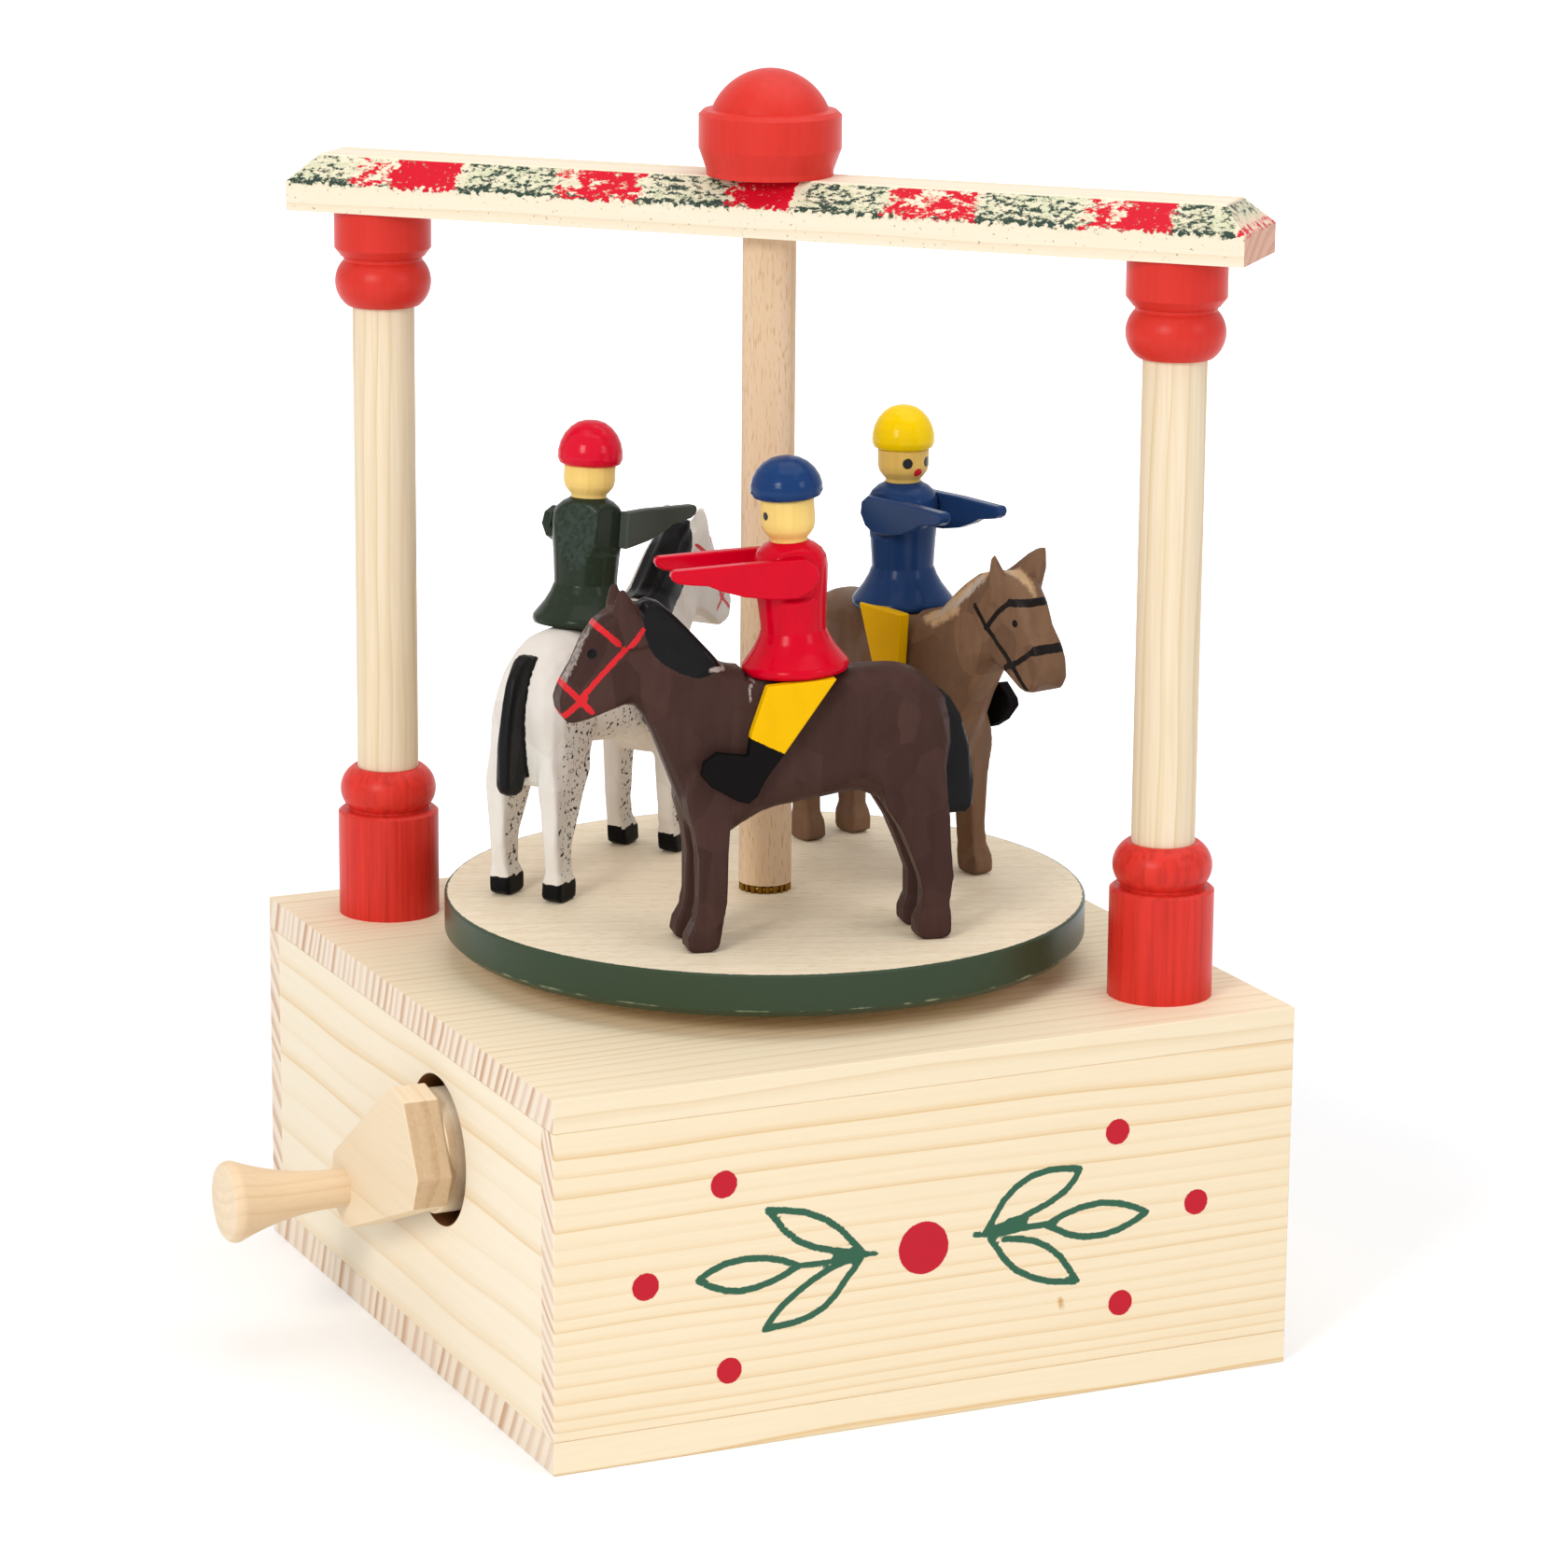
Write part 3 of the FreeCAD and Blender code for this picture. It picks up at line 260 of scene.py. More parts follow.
# the wall of the crank hole is painted dark brown within this radius of the crank's axle in mm, as
# painted shade inside the hole
CRANK_AXLE = (0, -0.0146, 0.0357)
HOLE_SHADE_RADIUS = 11.52
tree = lit_left_pine.node_tree
here = add(tree, "ShaderNodeTexCoord")["Object"]
level = add(tree, "ShaderNodeVectorMath", {0: here, 1: (0, 1, 1)}, operation="MULTIPLY")[0]
reach = add(tree, "ShaderNodeVectorMath", {0: level, 1: CRANK_AXLE},
            operation="DISTANCE")["Value"]
wall = add(tree, "ShaderNodeMath", {0: reach, 1: 1000.0, 2: -HOLE_SHADE_RADIUS},
           operation="MULTIPLY_ADD")[0]
# painted shade: the wall of the crank hole is darkened
mark(lit_left_pine, wall, "#79512F", soft=0.05)
eased("left_board", lit_left_pine, "case")
eased("right_board", wood("pine_right", **PINE, turn=ALONG_Y, centre=(0.0577, 0, 0.028),
                          pith=(-30, 85), spacing=3.6, wander=4), "case")
eased("back_board", wood("pine_back", **PINE, turn=(0, 0, 0), centre=(0, 0.0577, 0.028),
                         pith=(-50, 90), spacing=3.1, wander=4), "case")
# the front board is coloured a little darker: painted shade
front_pine = wood("pine_front_shaded", **{**PINE, "pale": "#F1E0C1"}, turn=(0, 0, 0),
                  centre=(0, -0.0577, 0.028), pith=(-26, 36), spacing=1.9, wander=1.2)

# the brush strokes of the two sprigs: half a stroke's width, then its way across and up in mm
LEAF_LINE = 0.52
SPRIGS = [
    (LEAF_LINE, [(-26.7, 35.7), (-23.8, 35.3), (-20.6, 34.6), (-17.6, 33.2), (-15.0, 31.3),
                 (-13.1, 29.2), (-11.4, 27.3)]),
    (LEAF_LINE, [(-26.7, 35.7), (-25.7, 34.6), (-24.1, 32.4), (-21.8, 30.4), (-19.2, 29.1),
                 (-16.3, 28.2), (-13.4, 27.6)]),
    (LEAF_LINE, [(-37.6, 26.5), (-35.8, 27.6), (-33.3, 28.5), (-30.1, 28.8), (-26.9, 28.5),
                 (-24.3, 27.8), (-21.9, 26.7)]),
    (LEAF_LINE, [(-37.6, 26.5), (-35.5, 25.3), (-33.2, 24.4), (-31.0, 24.0), (-28.5, 24.2),
                 (-25.9, 24.8), (-23.7, 25.6), (-21.9, 26.5)]),
    (0.45, [(-21.9, 26.6), (-19.2, 26.5), (-16.6, 26.5), (-14.0, 26.6)]),
    (LEAF_LINE, [(-27.0, 17.6), (-25.9, 19.1), (-24.3, 20.8), (-22.0, 22.5), (-19.5, 24.1),
                 (-16.6, 25.5), (-14.0, 26.3)]),
    (LEAF_LINE, [(-27.0, 17.6), (-25.2, 17.8), (-22.3, 18.0), (-19.8, 18.6), (-17.5, 19.7),
                 (-15.6, 21.4), (-14.0, 23.6), (-12.7, 25.0), (-11.7, 26.4)]),
    (0.4, [(-12.1, 27.0), (-9.2, 26.8)]),
    (1.1, [(-15.2, 26.8), (-13.0, 26.9)]),
    (LEAF_LINE, [(8.8, 27.8), (10.0, 29.7), (11.5, 32.1), (13.7, 34.1), (16.2, 35.4),
                 (19.1, 35.9), (21.6, 35.8), (24.0, 35.5)]),
    (LEAF_LINE, [(24.1, 35.4), (23.3, 33.9), (21.7, 32.3), (19.5, 31.0), (17.0, 30.0),
                 (14.5, 29.1), (12.2, 28.7)]),
    (LEAF_LINE, [(35.5, 27.2), (33.4, 28.3), (30.8, 29.2), (27.6, 29.7), (24.4, 29.4),
                 (21.5, 28.6), (19.3, 27.7)]),
    (LEAF_LINE, [(35.5, 27.2), (33.5, 26.1), (30.9, 25.1), (28.3, 24.6), (25.1, 24.7),
                 (22.2, 25.5), (20.3, 26.6), (18.6, 27.4)]),
    (0.5, [(19.9, 27.4), (18.3, 27.5), (14.8, 27.5), (11.6, 27.4)]),
    (LEAF_LINE, [(24.0, 17.9), (22.6, 20.1), (21.0, 22.3), (19.0, 24.0), (16.8, 25.2),
                 (14.5, 25.8), (11.7, 26.2)]),
    (LEAF_LINE, [(24.0, 17.9), (21.4, 18.2), (19.1, 18.6), (16.6, 19.5), (13.7, 21.1),
                 (11.7, 23.2), (10.4, 25.2), (9.4, 26.5)]),
    (0.45, [(6.8, 27.5), (9.1, 27.2)]),
    (1.05, [(10.2, 27.6), (14.6, 28.0)]),
]
# a small knot in the wood, given in the same way
KNOT = [(0.35, [(21.6, 14.2), (21.2, 15.4)])]
# each dot's radius and middle
DOTS = [(4.05, (-1.5, 26.6)), (2.0, (30.3, 40.4)), (2.0, (43.9, 27.7)), (2.0, (31.4, 13.5)),
        (2.1, (-33.6, 40.5)), (2.1, (-45.8, 26.7)), (2.0, (-32.6, 12.1))]


def from_strokes(points, strokes):
    """How far each flat point lies outside the nearest brush stroke."""
    best = np.full(len(points), 99.0)
    for half, line in strokes:
        for a, b in zip(line, line[1:]):
            a, way = np.array(a), np.subtract(b, a)
            share = np.clip((points - a) @ way / (way @ way), 0, 1)
            gap = np.linalg.norm(points - a - share[:, None] * way, axis=1)
            best = np.minimum(best, gap - half)
    return best


def store(obj, name, values):
    """Keep a value for each of a mesh's points."""
    layer = obj.data.attributes.new(name, "FLOAT", "POINT")
    layer.data.foreach_set("value", np.asarray(values, np.float32))


def front_face():
    """The front board: a fine grid for its face, run back to the board's thickness."""
    low, high = (np.array(v) * 1000 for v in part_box("front_board"))
    ease, across, upward = 0.2, 200, 80
    xs = np.r_[low[0], np.linspace(low[0] + ease, high[0] - ease, across), high[0]]
    zs = np.r_[low[2], np.linspace(low[2] + ease, high[2] - ease, upward), high[2]]
    shape = bmesh.new()
    rows = []
    for z in zs:
        row = []
        for x in xs:
            on_rim = x in (low[0], high[0]) or z in (low[2], high[2])
            row.append(shape.verts.new((x, low[1] + (ease if on_rim else 0.0), z)))
        rows.append(row)
    for below, above in zip(rows, rows[1:]):
        for a, b, c, d in zip(below, below[1:], above[1:], above):
            shape.faces.new((a, b, c, d))
    rim = rows[0] + [row[-1] for row in rows[1:]] + rows[-1][-2::-1] \
        + [row[0] for row in rows[-2:0:-1]]
    back = [shape.verts.new((v.co.x, high[1], v.co.z)) for v in rim]
    for a, b, c, d in zip(rim, rim[1:] + rim[:1], back[1:] + back[:1], back):
        shape.faces.new((b, a, d, c))
    shape.faces.new(back)
    bmesh.ops.recalc_face_normals(shape, faces=shape.faces)
    bmesh.ops.scale(shape, vec=(0.001, 0.001, 0.001), verts=shape.verts)
    mesh = bpy.data.meshes.new("painted_front")
    shape.to_mesh(mesh)
    shape.free()
    return placed("painted_front", mesh)


def spots(obj):
    """A mesh's points in mm."""
    flat = np.zeros(len(obj.data.vertices) * 3)
    obj.data.vertices.foreach_get("co", flat)
    return flat.reshape(-1, 3) * 1000


painted_front = front_face()
at = spots(painted_front)
face_points = at[:, [0, 2]]
# the paint stays on the face, within half a millimetre of its front
behind = np.clip(at[:, 1] + 59.5, 0, None) * 9
store(painted_front, "leaf_paint", from_strokes(face_points, SPRIGS) + behind)
# a dot is a stroke that hardly moves
dot_strokes = [(r, [(x, z), (x + 0.01, z)]) for r, (x, z) in DOTS]
store(painted_front, "dot_paint", from_strokes(face_points, dot_strokes) + behind)
store(painted_front, "knot", from_strokes(face_points, KNOT) + behind)
mark(front_pine, "knot", "#C79A55", soft=0.3, ragged=0.3)
# Poster paint, brushed on: flat solid colour with edges that waver a little, and smoother than
# the wood round it.
mark(front_pine, "leaf_paint", "#34604A", soft=0.06, ragged=0.14, rough=0.42)
mark(front_pine, "dot_paint", "#C01B2D", soft=0.06, ragged=0.14, rough=0.42)
painted_front.data.materials.append(front_pine)
settle(painted_front, "case", "front_board")

# -------------------------------------------------------------------------- hidden drive
# Inside the case a steel spindle turns in brass bearings, driven by a brass worm and wheel.
# The crank axle runs in two beech blocks that are glued to the base.

# Steamed beech, sawn and sanded: even pinkish brown with faint rings and short dark ray flecks.
BEECH = dict(pale="#E4C8A8", late="#D3B28D", end="#D9BC97", end_late="#BD9670", fleck="#C9A27C")


def coat(material, *nodes):
    """Give CAD nodes a material."""
    for node in nodes:
        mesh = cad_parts[node].data
        mesh.materials.clear()
        mesh.materials.append(material)


def metal(name, code, roughness, ridge):
    """Turned or drawn metal with fine tool marks round its axis."""
    material, tree, shader = finish_of(name, roughness, Metallic=1.0)
    spot = add(tree, "ShaderNodeTexCoord")["Object"]
    scratch = add(tree, "ShaderNodeVectorMath", {0: spot, 1: ridge}, operation="MULTIPLY")[0]
    noise = add(tree, "ShaderNodeTexNoise",
                {"Vector": scratch, "Scale": 1.0, "Detail": 3.0})["Fac"]
    shaded = [0.6 * c for c in hue(code)[:3]] + [1.0]
    colour = add(tree, "ShaderNodeMix", {0: noise, 6: hue(code), 7: shaded},
                 data_type="RGBA")[2]
    bump = add(tree, "ShaderNodeBump",
               {"Strength": 0.3, "Distance": 0.00005, "Height": noise})[0]
    tree.links.new(colour, shader.inputs["Base Color"])
    tree.links.new(bump, shader.inputs["Normal"])
    return material


# Turned brass: clear yellow metal with tool rings across its axis, drawn 0.25 mm apart because
# real ones are too fine to show.  Drawn steel: grey rod with faint scratches along it, drawn
# 0.4 mm apart.
brass = metal("turned_brass", "#D2A347", 0.22, (300, 300, 4000))
brass_along = metal("turned_brass_worm", "#D2A347", 0.22, (4000, 300, 300))
steel = metal("drawn_steel", "#A9A9A6", 0.3, (2500, 2500, 60))
block_beech = wood("block_beech", **BEECH, turn=ALONG_Y, centre=(0, 0, 0), pith=(40, 120),
                   spacing=2.4)
coat(steel, "spindle", "crank_axle", "crank_set_screws", "wheel_set_screw")
coat(brass, "pivot_cup", "spindle_bush", "thrust_washer", "disc_carrier", "worm_wheel")
coat(brass_along, "worm", "axle_collar")
coat(block_beech, "inner_block", "outer_block")

# ------------------------------------------------------------------------------ columns
# Each column is a pale limewood dowel between a turned base and a turned capital.  The turned
# parts are dipped in red lacquer, thin enough for the grain to show.


def lacquer(name, code, deep, lines, bite):
    """Thin coloured lacquer over turned wood, whose grain lines still show."""
    material, tree, shader = finish_of(name, 0.4, Coat_Weight=0.1, Coat_Roughness=0.3,
                                       Specular_IOR_Level=0.15)
    spot = add(tree, "ShaderNodeTexCoord")["Object"]
    drawn = add(tree, "ShaderNodeVectorMath", {0: spot, 1: lines}, operation="MULTIPLY")[0]
    grain = add(tree, "ShaderNodeTexNoise",
                {"Vector": drawn, "Scale": 1.0, "Detail": 4.0, "Roughness": 0.65})["Fac"]
    cover = add(tree, "ShaderNodeMapRange", {0: grain, 1: 0.42, 2: 0.75, 3: 0.0, 4: bite})[0]
    colour = add(tree, "ShaderNodeMix", {0: cover, 6: hue(code), 7: hue(deep)},
                 data_type="RGBA")[2]
    bump = add(tree, "ShaderNodeBump",
               {"Strength": 0.35, "Distance": 0.0001, "Height": grain})[0]
    tree.links.new(colour, shader.inputs["Base Color"])
    tree.links.new(bump, shader.inputs["Normal"])
    return material


UPRIGHT = (0.0, math.pi / 2, 0.0)
# Red lacquer, dipped once on the bases: half gloss, with darker upright grain lines a millimetre
# apart.  The capitals and the knob had the grain filled first, so their red is more even.
coat(lacquer("red_lacquer_on_wood", "#D93327", "#A81E18", (1100, 1100, 30), 0.75),
     "column_base_rear", "column_base_front")
coat(lacquer("red_lacquer_filled", "#D23025", "#B5241C", (1100, 1100, 60), 0.3),
     "column_capital_rear", "column_capital_front", "top_knob")
# Limewood dowel, sanded: creamy and quiet, with soft tan streaks along it.
LIME = dict(pale="#EDDCC0", late="#D6BD92", end="#E0CDAA", end_late="#C9AE84")
coat(wood("limewood_rear", **LIME, turn=UPRIGHT, centre=(-0.045, 0.045, 0.11), pith=(9, -17),
          spacing=1.9, wander=3.0, streak=0.35), "column_shaft_rear")
coat(wood("limewood_front", **LIME, turn=UPRIGHT, centre=(0.045, -0.045, 0.11), pith=(-8, 19),
          spacing=2.2, wander=3.0, streak=0.35), "column_shaft_front")

# ------------------------------------------------------------------- bar, knob and post
# The bar lies corner to corner on the capitals.  Its upper edges are planed off and dabbed
# with a sponge in red and dark green bands.  A beech dowel hangs from its middle over the
# spindle, and a red knob is glued in on top.

BAR_TURN = (0.0, 0.0, -math.pi / 4)
# Planed limewood, a shade paler than the columns, with pinkish end grain
bar_wood = wood("limewood_bar", **{**LIME, "pale": "#F0E3CC", "late": "#DCC9A6",
                                   "end": "#DBAB94", "end_late": "#C58E78"},
                turn=BAR_TURN, centre=(0, 0, 0.1725), pith=(14, -22), spacing=2.6, wander=1.5)
tree = bar_wood.node_tree
here = add(tree, "ShaderNodeTexCoord")["Object"]
along = add(tree, "ShaderNodeMapping",
            {"Vector": here, "Rotation": BAR_TURN, "Scale": (0.001, 0.001, 0.001)},
            vector_type="TEXTURE")[0]
split = add(tree, "ShaderNodeSeparateXYZ", {0: along})


def bands(tree, place, stops, low=-80.0, high=82.0):
    """How much paint was dabbed on at each place along the bar, from stops in mm."""
    share = add(tree, "ShaderNodeMapRange", {0: place, 1: low, 2: high})[0]
    ramp = tree.nodes.new("ShaderNodeValToRGB")
    tree.links.new(share, ramp.inputs[0])
    ends = ramp.color_ramp.elements
    for n, (spot, level) in enumerate(stops):
        spot = (spot - low) / (high - low)
        last = n == len(stops) - 1
        stop = ends[0] if n == 0 else ends[-1] if last else ends.new(spot)
        stop.position, stop.color = spot, (level, level, level, 1.0)
    return ramp.outputs[0]


def dabs(tree, place, amount, size, roughness, most):
    """Less than nought where a sponge left paint: amount runs from none to nearly solid."""
    noise = add(tree, "ShaderNodeTexNoise",
                {"Vector": place, "Scale": size, "Detail": 4.0, "Roughness": roughness})["Fac"]
    level = add(tree, "ShaderNodeMapRange", {0: amount, 3: 0.2, 4: most})[0]
    gap = add(tree, "ShaderNodeMath", {0: noise, 1: level}, operation="SUBTRACT")[0]
    return add(tree, "ShaderNodeMath", {0: gap, 1: 10.0}, operation="MULTIPLY")[0]


# how solid each colour is along the bar: places in mm from its middle, shares from nought to one
RED_SHARE = [(-80, 0), (-67, 0), (-65, 0.45), (-58.5, 0.52), (-57, 1), (-49, 1), (-47, 0.1),
             (-34, 0.1), (-32, 0.42), (-28, 0.5), (-26, 0.68), (-19, 0.66), (-16.5, 0.15),
             (-6, 0), (-4, 0.5), (-1, 0.6), (0, 0.8), (5.5, 0.8), (7, 0.1), (19.5, 0.1), (21, 0.57),
             (34, 0.6), (37, 0.1), (49, 0.1), (51.5, 0.5), (57, 0.58), (59, 0.85), (63.5, 0.85),
             (66, 0.1), (74.5, 0.1), (75, 0.47), (80, 0.47)]
GREEN_SHARE = [(-80, 0.9), (-68, 0.85), (-64, 0.55), (-57, 0.3), (-49, 0.3), (-46, 1), (-34, 0.9),
               (-27, 0.5), (-18, 0.6), (-15, 0.95), (-4, 0.85), (0, 0.3), (6, 0.4), (9, 0.95),
               (20, 0.9), (24, 0.45), (33, 0.5), (37, 0.95), (49, 0.9), (54, 0.4), (62, 0.4),
               (66, 1), (74, 0.9), (75, 0.1), (80, 0.1)]
# paint lies on the planed edge only, between these heights in mm
EDGE_FOOT, EDGE_TOP = 172.6, 176.45
foot = add(tree, "ShaderNodeMath", {0: EDGE_FOOT, 1: split[2]}, operation="SUBTRACT")[0]
crown = add(tree, "ShaderNodeMath", {0: split[2], 1: EDGE_TOP}, operation="SUBTRACT")[0]
crown = add(tree, "ShaderNodeMath", {0: crown, 1: 8.0}, operation="MULTIPLY")[0]
streaky = add(tree, "ShaderNodeVectorMath", {0: along, 1: (0.7, 1.15, 1.15)},
              operation="MULTIPLY")[0]
red_share = bands(tree, split[0], RED_SHARE)
green_share = bands(tree, split[0], GREEN_SHARE)
lip = add(tree, "ShaderNodeMath", {0: foot}, operation="ABSOLUTE")[0]
slips = add(tree, "ShaderNodeTexNoise", {"Vector": along, "Scale": 1.1, "Detail": 2.0})["Fac"]
drop = add(tree, "ShaderNodeMapRange", {0: slips, 3: -1.4, 4: 1.4})[0]
past = add(tree, "ShaderNodeMath", {0: foot, 1: drop}, operation="ADD")[0]
past = add(tree, "ShaderNodeMath", {0: past, 1: 3.0}, operation="MULTIPLY")[0]
# Poster paint dabbed on with a sponge: broken patches with bare wood between them, a pale green
# under dark green and red, and all of it thicker along the edge's foot.  A sponge's pores are a
# third of a millimetre, and are drawn one to two wide so that they show.
for code, soft, pile, gap in (
        ("#CFCFAE", 1.6, 0.3, dabs(tree, streaky, green_share, 0.5, 0.6, 0.62)),
        ("#2E4036", 0.35, 1.7, dabs(tree, streaky, green_share, 1.15, 0.72, 0.5)),
        ("#CE1029", 0.3, 0.2, dabs(tree, streaky, red_share, 0.75, 0.7, 0.78))):
    ridge = add(tree, "ShaderNodeMapRange", {0: lip, 1: 0.1, 2: 0.9, 3: pile, 4: 0.0})[0]
    gap = add(tree, "ShaderNodeMath", {0: gap, 1: ridge}, operation="SUBTRACT")[0]
    gap = add(tree, "ShaderNodeMath", {0: gap, 1: past}, operation="MAXIMUM")[0]
    gap = add(tree, "ShaderNodeMath", {0: gap, 1: crown}, operation="MAXIMUM")[0]
    mark(bar_wood, gap, code, soft=soft, rough=0.42)
# stray specks on the sides below the edge
stray = add(tree, "ShaderNodeTexNoise", {"Vector": along, "Scale": 1.3, "Detail": 3.0})["Fac"]
stray = add(tree, "ShaderNodeMapRange", {0: stray, 1: 0.64, 2: 0.72, 3: 1.0, 4: -1.0})[0]
stray = add(tree, "ShaderNodeMath", {0: stray, 1: crown}, operation="MAXIMUM")[0]
mark(bar_wood, stray, "#A39676", soft=1.0)
eased("crossbar", bar_wood, "case", width=0.3)
# Beech dowel: pinkish, with rings as upright lines and its dark flecks
coat(wood("beech_post", **BEECH, turn=UPRIGHT, centre=(0, 0, 0.12), pith=(16, 12),
          spacing=2.2, wander=1.0), "centre_post")

# ------------------------------------------------------------------------- knurled nut
# A thin turned brass nut holds the disc down on the spindle.  Its edge is knurled with rounded
# ribs, which repeat all round, so a node tree sets one rib on each point of a circle.

# how high the disc's top lies over the table, in mm
DISC_TOP = 66.2
# in mm, apart from the number of ribs
NUT = {"Ribs": 20, "Outer radius": 4.05, "Bore radius": 2.05, "Rib radius": 0.4, "Height": 1.15,
       "Foot": DISC_TOP}
ring = bpy.data.node_groups.new("knurled_ring", "GeometryNodeTree")
ring.interface.new_socket("Geometry", in_out="OUTPUT", socket_type="NodeSocketGeometry")
for name in NUT:
    kind = "NodeSocketInt" if name == "Ribs" else "NodeSocketFloat"
    ring.interface.new_socket(name, in_out="INPUT", socket_type=kind)
ring.interface.new_socket("Finish", in_out="INPUT", socket_type="NodeSocketMaterial")
asked = add(ring, "NodeGroupInput")
# a rib stands on each point of a circle
core = add(ring, "ShaderNodeMath", {0: asked["Outer radius"], 1: asked["Rib radius"]},
           operation="SUBTRACT")[0]
seats = add(ring, "GeometryNodeMeshCircle", {"Vertices": asked["Ribs"], "Radius": core})[0]
rib = add(ring, "GeometryNodeMeshCylinder",
          {"Vertices": 14, "Radius": asked["Rib radius"], "Depth": asked["Height"]})[0]
ribs = add(ring, "GeometryNodeInstanceOnPoints", {"Points": seats, "Instance": rib})[0]
# the body between them and the bore is a rectangle swept round
body = add(ring, "ShaderNodeMath", {0: core, 1: asked["Bore radius"]}, operation="SUBTRACT")[0]
section = add(ring, "GeometryNodeCurvePrimitiveQuadrilateral",
              {"Width": body, "Height": asked["Height"]})[0]
both_radii = add(ring, "ShaderNodeMath", {0: core, 1: asked["Bore radius"]}, operation="ADD")[0]
middle = add(ring, "ShaderNodeMath", {0: both_radii, 1: 0.5}, operation="MULTIPLY")[0]
path = add(ring, "GeometryNodeCurvePrimitiveCircle", {"Resolution": 80, "Radius": middle})[0]
tube = add(ring, "GeometryNodeCurveToMesh", {"Curve": path, "Profile Curve": section})[0]
both = ring.nodes.new("GeometryNodeJoinGeometry")
ring.links.new(ribs, both.inputs[0])
ring.links.new(tube, both.inputs[0])
rise = add(ring, "ShaderNodeMath", {0: asked["Height"], 1: 0.5, 2: asked["Foot"]},
           operation="MULTIPLY_ADD")[0]
lift = add(ring, "ShaderNodeCombineXYZ", {2: rise})[0]
seated = add(ring, "GeometryNodeTransform",
             {"Geometry": both.outputs[0], "Translation": lift})[0]
metres = add(ring, "GeometryNodeTransform",
             {"Geometry": seated, "Scale": (0.001, 0.001, 0.001)})[0]
whole = add(ring, "GeometryNodeRealizeInstances", {"Geometry": metres})[0]
done = add(ring, "GeometryNodeSetMaterial", {"Geometry": whole, "Material": asked["Finish"]})[0]
add(ring, "NodeGroupOutput", {0: done})
# Knurled brass, coloured darker and browner than the turned pieces as painted shade for the dark
# reflections between its ribs, with a bright glint on each rib
knurled = metal("knurled_brass_shaded", "#96702A", 0.16, (900, 900, 500))
nut = placed("ribbed_nut", bpy.data.meshes.new("ribbed_nut"))
make = nut.modifiers.new("knurl", "NODES")
make.node_group = ring
inlets = {item.name: item.identifier for item in ring.interface.items_tree
          if item.in_out == "INPUT"}
for name, value in {**NUT, "Finish": knurled}.items():
    make[inlets[name]] = value
plain(nut)
settle(nut, "carousel", "knurled_nut")

# ---------------------------------------------------------------------------- turntable
# The disc is turned from pale birch plywood.  Its edge is lacquered dark green by hand while
# it spins, and a thin pale line along its lower corner is a painted highlight.

# Birch plywood, sanded: creamy, with broad soft bands and short tan flecks
disc_wood = wood("birch_disc", pale="#F4E6CC", late="#E6D2B0", end="#DCC9AA", end_late="#CDB48C",
                 turn=(0, 0, -0.35), centre=(0, 0, 0.063), pith=(70, 60), spacing=3.4, wander=5.0,
                 streak=0.5, fleck="#DDC7A6")
tree = disc_wood.node_tree
here = add(tree, "ShaderNodeTexCoord")["Object"]
scaled = add(tree, "ShaderNodeVectorMath", {0: here, 1: (1000, 1000, 1000)},
             operation="MULTIPLY")[0]
flat = add(tree, "ShaderNodeVectorMath", {0: scaled, 1: (1, 1, 0)}, operation="MULTIPLY")[0]
reach = add(tree, "ShaderNodeVectorMath", {0: flat}, operation="LENGTH")["Value"]
level = add(tree, "ShaderNodeSeparateXYZ", {0: scaled})[2]
# Dark green lacquer: smooth and half gloss, with a wavering limit.  It runs further in on the
# underside than on the top, so these radii in mm belong to heights of 61.2 and 62 mm.
UNDERSIDE, TOPSIDE = 47.4, 49.0
rim = add(tree, "ShaderNodeMapRange", {0: level, 1: 61.2, 2: 62.0, 3: UNDERSIDE, 4: TOPSIDE})[0]
edge = add(tree, "ShaderNodeMath", {0: rim, 1: reach}, operation="SUBTRACT")[0]
mark(disc_wood, edge, "#34432F", soft=0.08, ragged=0.25, rough=0.3)
# the lower corner carries a painted highlight in a line at this height and outside this radius,
# broken by patches
HIGHLIGHT_AT, HIGHLIGHT_OUTSIDE = 60.75, 49.2
above = add(tree, "ShaderNodeMath", {0: level, 1: HIGHLIGHT_AT}, operation="SUBTRACT")[0]
rim_highlight = add(tree, "ShaderNodeMath", {0: above}, operation="ABSOLUTE")[0]
patchy = add(tree, "ShaderNodeTexNoise", {"Vector": scaled, "Scale": 0.35, "Detail": 3.0})["Fac"]
highlight_gaps = add(tree, "ShaderNodeMapRange", {0: patchy, 1: 0.4, 2: 0.65, 3: 0.3, 4: -0.12})[0]
rim_highlight = add(tree, "ShaderNodeMath", {0: rim_highlight, 1: highlight_gaps}, operation="ADD")[0]
outer = add(tree, "ShaderNodeMath", {0: HIGHLIGHT_OUTSIDE, 1: reach}, operation="SUBTRACT")[0]
rim_highlight = add(tree, "ShaderNodeMath", {0: rim_highlight, 1: outer}, operation="MAXIMUM")[0]
mark(disc_wood, rim_highlight, "#8F9677", soft=0.15, ragged=0.1)
coat(disc_wood, "turntable")

# ------------------------------------------------------------------------------- horses
# Each horse is sawn from a lime board, carved round with a knife, painted by brush and glued to
# the disc: dark brown and white ones with black manes and tails, and a light brown one with
# blond strokes in its mane.  All three have thin painted bridles.

# each one's distance from the spindle in mm, its angle round it, and how far it is turned aside
HORSES = {"dark": (28.3, 259.1, 0.3), "white": (28.65, 136.15, -9.55), "tan": (28.4, 20.1, -8.5)}


def stance(name):
    """A horse's own frame: along it to the nose, to its left side, and up from the disc."""
    out, angle, turn = HORSES[name]
    heading = math.radians(angle - 90 + turn)
    foot = (out * math.cos(math.radians(angle)), out * math.sin(math.radians(angle)), DISC_TOP)
    nose_way = np.array([math.cos(heading), math.sin(heading), 0])
    left = np.array([-math.sin(heading), math.cos(heading), 0])
    return np.array(foot), np.array([nose_way, left, [0, 0, 1]])


